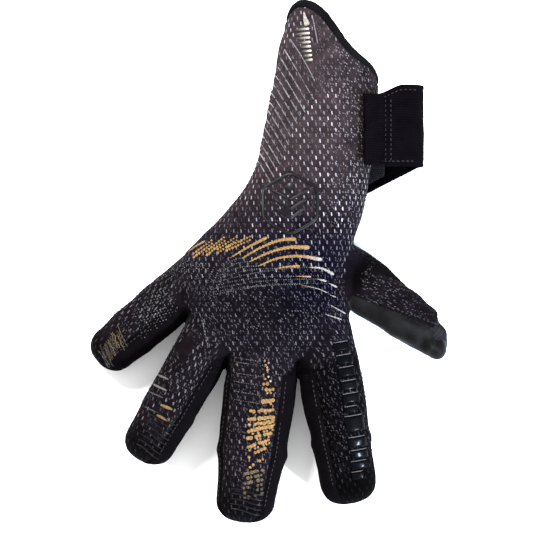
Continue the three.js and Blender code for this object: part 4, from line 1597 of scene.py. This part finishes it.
def make_emblem():
    """A plain six-sided badge: a rounded rim, three chevrons and a round stud."""
    pile = Pile("emblem_relief", "emblem", "emblem", replaced={"hand": ("back_emblem",)})
    rim = []
    for k in range(6):
        for turn in np.linspace(-22, 22, 6):
            angle = math.radians(60 * k + 30 + turn)
            inner = EMBLEM_RADIUS * math.cos(math.pi / 6) / math.cos(math.radians(30 - abs(turn)))
            corner = 1 - 0.03 * math.exp(-(turn / 7) ** 2)
            rim.append(emblem_spot(angle, inner * corner))
    line = dropped(rim + rim[:1], 0.9)[:-1]
    pile.add(raised(line, 2.0, 0.9, closed=True), region="hand")
    for k, reach in enumerate((10.5, 9.0, 7.5)):
        x, y = EMBLEM_CENTRE[0], EMBLEM_CENTRE[1] + 5.5 - 5.2 * k
        line = dropped([(x - reach, y + 2.4), (x - reach / 2, y - 0.4), (x, y - 3.4)], 0.7)
        line += dropped([(x, y - 3.4), (x + reach / 2, y - 0.4), (x + reach, y + 2.4)], 0.7)[1:]
        pile.add(raised(line, 1.7, 0.7), region="hand")
    pile.add(dot(drop(EMBLEM_CENTRE[0], EMBLEM_CENTRE[1] + 9.4), 2.4, 0.9, 20), region="hand")
    pile.make()


def make_grips():
    """Silicone blocks down the thumb side of the index finger, each with a raised edge next to the hand,
    painted silver as its highlight.
    """
    digit = digits["index"]
    pile = Pile("index_grip", "silicone", "silicone", replaced={
        "index_proximal": ("index_grip_proximal",), "index_distal": ("index_grip_distal",)})
    edges = Pile("index_grip_edge_highlight", "print", "silicone", SILVER_PRINT_AND_HIGHLIGHT)
    # Each block's place along the finger, its length, and its two ends across the finger.
    blocks = [(-15.5, 4.4, 3.6, 10.6), (-8.2, 4.6, 4.2, 11.4), (-1.4, 4.8, 4.4, 11.6), (6.2, 4.8, 4.6, 12.0),
              (13.4, 4.8, 4.4, 12.2), (20.6, 3.2, 4.4, 10.0), (26.0, 8.6, 3.6, 12.6), (38.0, 5.6, 3.8, 12.6),
              (45.4, 4.4, 4.2, 12.0), (51.6, 4.2, 3.6, 11.0), (57.6, 4.0, 3.2, 9.4)]
    for s, length, near, far in blocks:
        ends = digit.length - s
        far = min(far + 2.2, 0.84 * float(digit.half(s, 1)) + 1.0 if ends > 20 else far + 1)
        region = region_of(beside(digit, s + length / 2, near)[0])
        pile.add(pad(lambda a, b: beside(digit, s + length * a, near + (far - near) * b), 0.95),
                 region=region)
        # A raised line along the block's edge, painted silver as the edge's highlight.
        line = [beside(digit, s - 0.5, near + (far - near) * share) for share in np.linspace(0.06, 0.94, 9)]
        edges.add(raised(line, 0.55, 0.5), SILVER_PRINT_AND_HIGHLIGHT * 0.7, region=region)
    pile.make()
    edges.make()


def make_ribs():
    """Moulded ribs over the ends of the ring and middle fingers and along the little finger."""
    pile = Pile("tip_rib", "emblem", "silicone")
    chance = random.Random(31)
    for name, first, last, pitch in (
            ("ring", 40, 63, 3.1), ("middle", 66, 79, 2.9), ("pinky", 46, 49, 2.6)):
        digit = digits[name]
        for s in np.arange(first, last, pitch):
            half = float(digit.half(s, 1) * digit.dome(s)) * 0.62
            line = [beside(digit, s + 1.1 * math.sin(2.2 * share) + 0.2 * chance.random(), half * share)
                    for share in np.linspace(-1, 0.8, 15)]
            line = [spot for spot in line if spot is not None]
            pile.add(raised(line, 0.9, 0.5), region=f"{name}_distal")
    pile.make()


# ---- Stitching -----------------------------------------------------------------------------------

STITCH_PITCH, STITCH_LENGTH = 2.7, 1.7
# Shares along a stitch, and its height over the skin and its thickness there.
STITCH_AT = np.array([0, 0.12, 0.5, 0.88, 1])
STITCH_LIFT = np.array([-0.25, 0.08, 0.2, 0.08, -0.25])
STITCH_SIZE = np.array([0.5, 1, 1.1, 1, 0.5])


def stitches(pile, line, region=None, radius=0.24):
    """Short thread capsules laid end to end along a line on the skin."""
    points, ups = map(np.array, zip(*line))
    along = distance_along(points)
    around = np.linspace(0, 2 * np.pi, 6, endpoint=False)
    profile = np.stack([np.cos(around), np.sin(around)], 1) * radius
    for start in np.arange(0.4, along[-1] - STITCH_LENGTH, STITCH_PITCH):
        at = start + STITCH_LENGTH * STITCH_AT
        spots, normals = (np.stack([np.interp(at, along, column) for column in rows.T], 1)
                          for rows in (points, ups))
        body = sweep(spots + normals * STITCH_LIFT[:, None], normals, profile,
                     np.stack([STITCH_SIZE, STITCH_SIZE], 1))
        pile.add(body, region=region)


def make_stitching():
    """Thread along every seam."""
    pile = Pile("seam_stitches", "thread", "thread")
    for name in ORDER:
        digit = digits[name]
        if name == "thumb":
            for s0, s1 in ((0, digit.border - 1), (digit.border + 1, digit.length - 8)):
                region = region_of(digit.axis_point((s0 + s1) / 2))
                line = [beside(digit, s, -LATEX_AT + LATEX_SLOPE * s + 1.5) for s in np.arange(s0, s1, 1.0)]
                stitches(pile, line, region=region)
            continue
        thumb_side, little_side = digit.shape["seams"]
        palm = digit.shape["palm"]
        for s0, s1 in ((2, digit.border - 1), (digit.border + 1, digit.dome_at + 3)):
            region = region_of(digit.axis_point((s0 + s1) / 2))
            for angle in (thumb_side + 6, -little_side - 6, palm + 6, -palm - 6):
                stitches(pile, [on_digit(digit, s, angle) for s in np.arange(s0, s1, 1.0)], region=region)
    for angle in (98, -98):
        line = [on_body(y, angle) for y in np.arange(CUFF_FROM + 1, 100, 1.5)]
        stitches(pile, [spot for spot in line if mouth_field(spot[0][None])[0] < -4], region="cuff")
    stitches(pile, [on_body(y, -98) for y in np.arange(4, WRIST[1] + 6, 1.5)], region="hand")
    stitches(pile, [on_body(y, 98) for y in np.arange(26, WRIST[1] + 6, 1.5)], region="hand")
    for place in (WRIST[1] - 1.5, WRIST[1] - 9):
        stitches(pile, [on_body(place, angle) for angle in np.arange(98, 262, 3)], region="hand")
    pile.make()


# ---- Rolled binding round the mouth of the cuff --------------------------------------------------

def mouth_spot(turn, offset):
    """On the cuff's skin in one plane of the mouth, and the outward direction there."""
    level = np.cross(MOUTH_AXIS, UP)
    level /= np.linalg.norm(level)
    upright = np.cross(level, MOUTH_AXIS)
    way = level * math.cos(turn) + upright * math.sin(turn)
    hit = MOUTH
    for _ in range(4):
        hit, _ = outward(MOUTH + MOUTH_AXIS * (offset - float(mouth_dip(hit))), way)
    return hit, way


def make_binding():
    """The roll round the cuff's mouth, and the stitches that hold it."""
    turns = np.linspace(0, 2 * np.pi, 150, endpoint=False)
    around = np.linspace(0, 2 * np.pi, 18, endpoint=False)
    points, ups, profile = [], [], []
    for turn in turns:
        hit, way = mouth_spot(turn, -0.3)
        peak = rise_between(hit[1], 95, 140)
        wide, thick = 1.9 + 0.5 * peak, 1.8 + 0.1 * peak
        ripple = 1 + 0.03 * math.sin(turn * 37) + 0.03 * math.sin(turn * 23 + 1)
        points.append(hit - way * 0.95)
        ups.append(way)
        bulge = np.abs(np.cos(around)) ** 0.8 * np.sign(np.cos(around))
        profile.append(np.stack([bulge * wide * ripple, np.sin(around) * thick * ripple], 1))
    pile = Pile("cuff_binding_roll", "binding", "binding", replaced={"cuff": ("cuff_binding",)})
    pile.add(sweep(points, ups, np.array(profile), closed=True), region="cuff")
    pile.make()
    thread = Pile("binding_stitches", "thread", "thread")
    stitches(thread, [mouth_spot(turn, -3.4) for turn in np.append(turns, turns[0])], region="cuff")
    thread.make()


# ---- Wrist strap ---------------------------------------------------------------------------------

STRAP_LOW, STRAP_HIGH = (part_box("strap_anchor")[k][1] / MM for k in (0, 1))
FOLD = joint_at("strap_peel")
# The band seen from its edge, in X and Z: from the cuff to the fold, and back under it.
STRAP_TOP = [(51.0, 43.4), (58.6, 38.2), (62.4, 33.4), (68, 30.4), (76, 29.2), (81.2, 27.0)]
STRAP_UNDER = [(82.4, 17.6), (77, 14), (69, 11.2), (62, 7.9), (55, 4.1), (49.5, 2.2)]
STRAP_HALF = 1.0                    # half thickness
STRAP_STEP = 0.9
SLANT = 0.5
DROOP = 6.5                         # how far the end on the cuff sinks towards it
RIDGE_AT = 60.6, 63.6               # the two sewn ridges across the band
EDGE = np.array([0, 0.25, 0.6, 1.0, 2.0, 3.0, 4.2])    # places across the band near its edge


def strap_offset(x, z):
    """How far the slanting flap has moved back at a place below the fold."""
    return -SLANT * np.maximum(0, FOLD[0] - 2 - x) * (z < FOLD[2])


def strap_lift(x, z, across):
    """Places across the band on top of the fold: its edge near the mouth droops towards the cuff."""
    droop = DROOP * (1 - rise_between(x, 56, 74)) * (z > FOLD[2] - 1)
    return across * (1 - droop / (STRAP_HIGH - STRAP_LOW))


def band_piece(name, points, count, step, material, nodes, angle):
    """A piece made of equal rings, a step apart."""
    around = len(points) // count
    obj = new_piece(name, points, tube_faces(count, around), [MATERIALS[material]], nodes)
    turn_faces_outward(obj.data)
    run = np.repeat(np.arange(count) * step, around)
    finish_piece(obj, np.stack([run, points[:, 1]], 1), PLAIN_TINT, angle)
    return obj


def make_strap():
    """One woven band from the cuff to its fold and back underneath, with a sewn double ridge."""
    line = curve_through([*STRAP_TOP, (FOLD[0], FOLD[2]), *STRAP_UNDER], STRAP_STEP)
    tangent = unit_rows(np.gradient(line, axis=0))
    side = np.stack([-tangent[:, 1], tangent[:, 0]], 1)
    length = STRAP_HIGH - STRAP_LOW
    inner = np.linspace(EDGE[-1], length - EDGE[-1], 22)
    across = np.concatenate([EDGE, inner[1:-1], length - EDGE[::-1]])
    from_edge = np.minimum(across, length - across)
    half = STRAP_HALF * np.sqrt(np.clip(1 - (1 - np.clip(from_edge / 0.9, 0, 1)) ** 2, 0.02, 1))
    half = half - 0.28 * ridge(from_edge - 3.0, 0.6)
    rings = []
    for (x, z), (sx, sz) in zip(line, side):
        top = z > FOLD[2] - 1
        double = 0.75 * (ridge(x - RIDGE_AT[0], 0.75) + ridge(x - RIDGE_AT[1], 0.75)) * top
        wave = 0.22 * np.sin(across * 0.21 + x * 0.5) + 0.16 * np.sin(across * 0.47 - x * 0.31)
        outer = half * (1 + double) + wave * 0.5
        inside = half - wave * 0.5
        shift = strap_offset(x, z)
        for thick, order in ((outer, slice(None)), (-inside, slice(None, None, -1))):
            lift = STRAP_LOW + strap_lift(x, z, across) + shift
            rings.append(np.stack([x + sx * thick, lift, z + sz * thick], 1)[order])
    obj = band_piece("strap_band", np.vstack(rings), len(line), STRAP_STEP, "strap",
                     ("strap_anchor", "strap_flap"), 70)
    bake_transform(obj)
    make_strap_stitches(length)


def make_strap_stitches(length):
    """Two rows along the band's edges and two across its ridges."""
    thread = Pile("strap_stitches", "thread", "thread")
    upper = curve_through(STRAP_TOP, 1.0)
    tangents = np.gradient(upper, axis=0)
    for inset in (3.0, length - 3.0):
        line = []
        for (x, z), (tx, tz) in list(zip(upper, tangents))[11:-1]:
            up = np.array([-tz, 0, tx]) / math.hypot(tx, tz)
            line.append((np.array([x, STRAP_LOW + strap_lift(x, z, inset), z]) + up * STRAP_HALF * 0.8, up))
        stitches(thread, line, region="cuff", radius=0.3)
    for x in (62.1, 65.4):
        index = int(np.argmin(np.abs(upper[:, 0] - x)))
        tx, tz = tangents[index]
        up = np.array([-tz, 0, tx]) / math.hypot(tx, tz)
        spot = np.array([upper[index, 0], 0, upper[index, 1]]) + up * STRAP_HALF * 0.95
        span = strap_lift(x, spot[2], np.arange(3, length - 3, 1.5))
        line = [(spot + np.array([0, STRAP_LOW + y, 0]), up) for y in span]
        stitches(thread, line, region="cuff", radius=0.3)
    thread.make()


def tape_strip(name, centre_line, thickness, low, high, material, node, body):
    """A thin sewn tape with softly rounded edges."""
    line = curve_through(centre_line, 1.0)
    points = np.array([[x, 0, z] for x, z in line])
    ups = unit_rows(np.cross(np.gradient(points, axis=0), [0, 1, 0]))
    half = (high - low) / 2
    points[:, 1] = (low + high) / 2 + np.array([float(strap_offset(x, 0)) for x, _ in line])
    steps = np.linspace(-half, half, 24)
    rounding = np.sqrt(np.clip(1 - (np.abs(steps) / half) ** 24, 0.08, 1)) * thickness / 2
    profile = np.concatenate([np.stack([steps, rounding], 1), np.stack([steps[::-1], -rounding[::-1]], 1)])
    rings = points[:, None] + profile[None, :, :1] * np.array([0, 1, 0]) + profile[None, :, 1:] * ups[:, None]
    obj = band_piece(name, rings.reshape(-1, 3), len(line), 1.0, material, (node,), 50)
    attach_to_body(obj, body)


def make_tapes():
    low, high = STRAP_LOW + 5, STRAP_HIGH - 5
    tape_strip("hook_tape_strip", [(63.5, 10.9), (58, 8.2), (53.0, 5.4)], 1.0, low, high,
               "hook", "strap_hook_tape", "strap")
    pile = Pile("loop_tape_patch", "loop", "loop_tape", replaced={"cuff": ("strap_loop_tape",)})
    first, last = (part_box("strap_loop_tape")[k][1] / MM for k in (0, 1))
    pile.add(pad(lambda a, b: on_body(first + (last - first) * a, 106 + 30 * b), 0.8), region="cuff")
    pile.make()


make_sunburst()
make_finger_prints()
make_cuff_prints()
make_emblem()
make_grips()
make_ribs()
make_stitching()
make_binding()
make_strap()
make_tapes()


def light_the_glint():
    """A small cool lamp whose mirror image sits on the last grip block of the index finger."""
    digit = digits["index"]
    spot, up = beside(digit, 44, 8.5)
    camera = np.array(bpy.context.scene.camera.location) / MM - spot
    camera /= np.linalg.norm(camera)
    mirrored = 2 * (camera @ up) * up - camera
    area_light("spark", tuple((spot + mirrored * 900) * MM), 0.1, 34, (0.72, 0.84, 1.0))


light_the_glint()
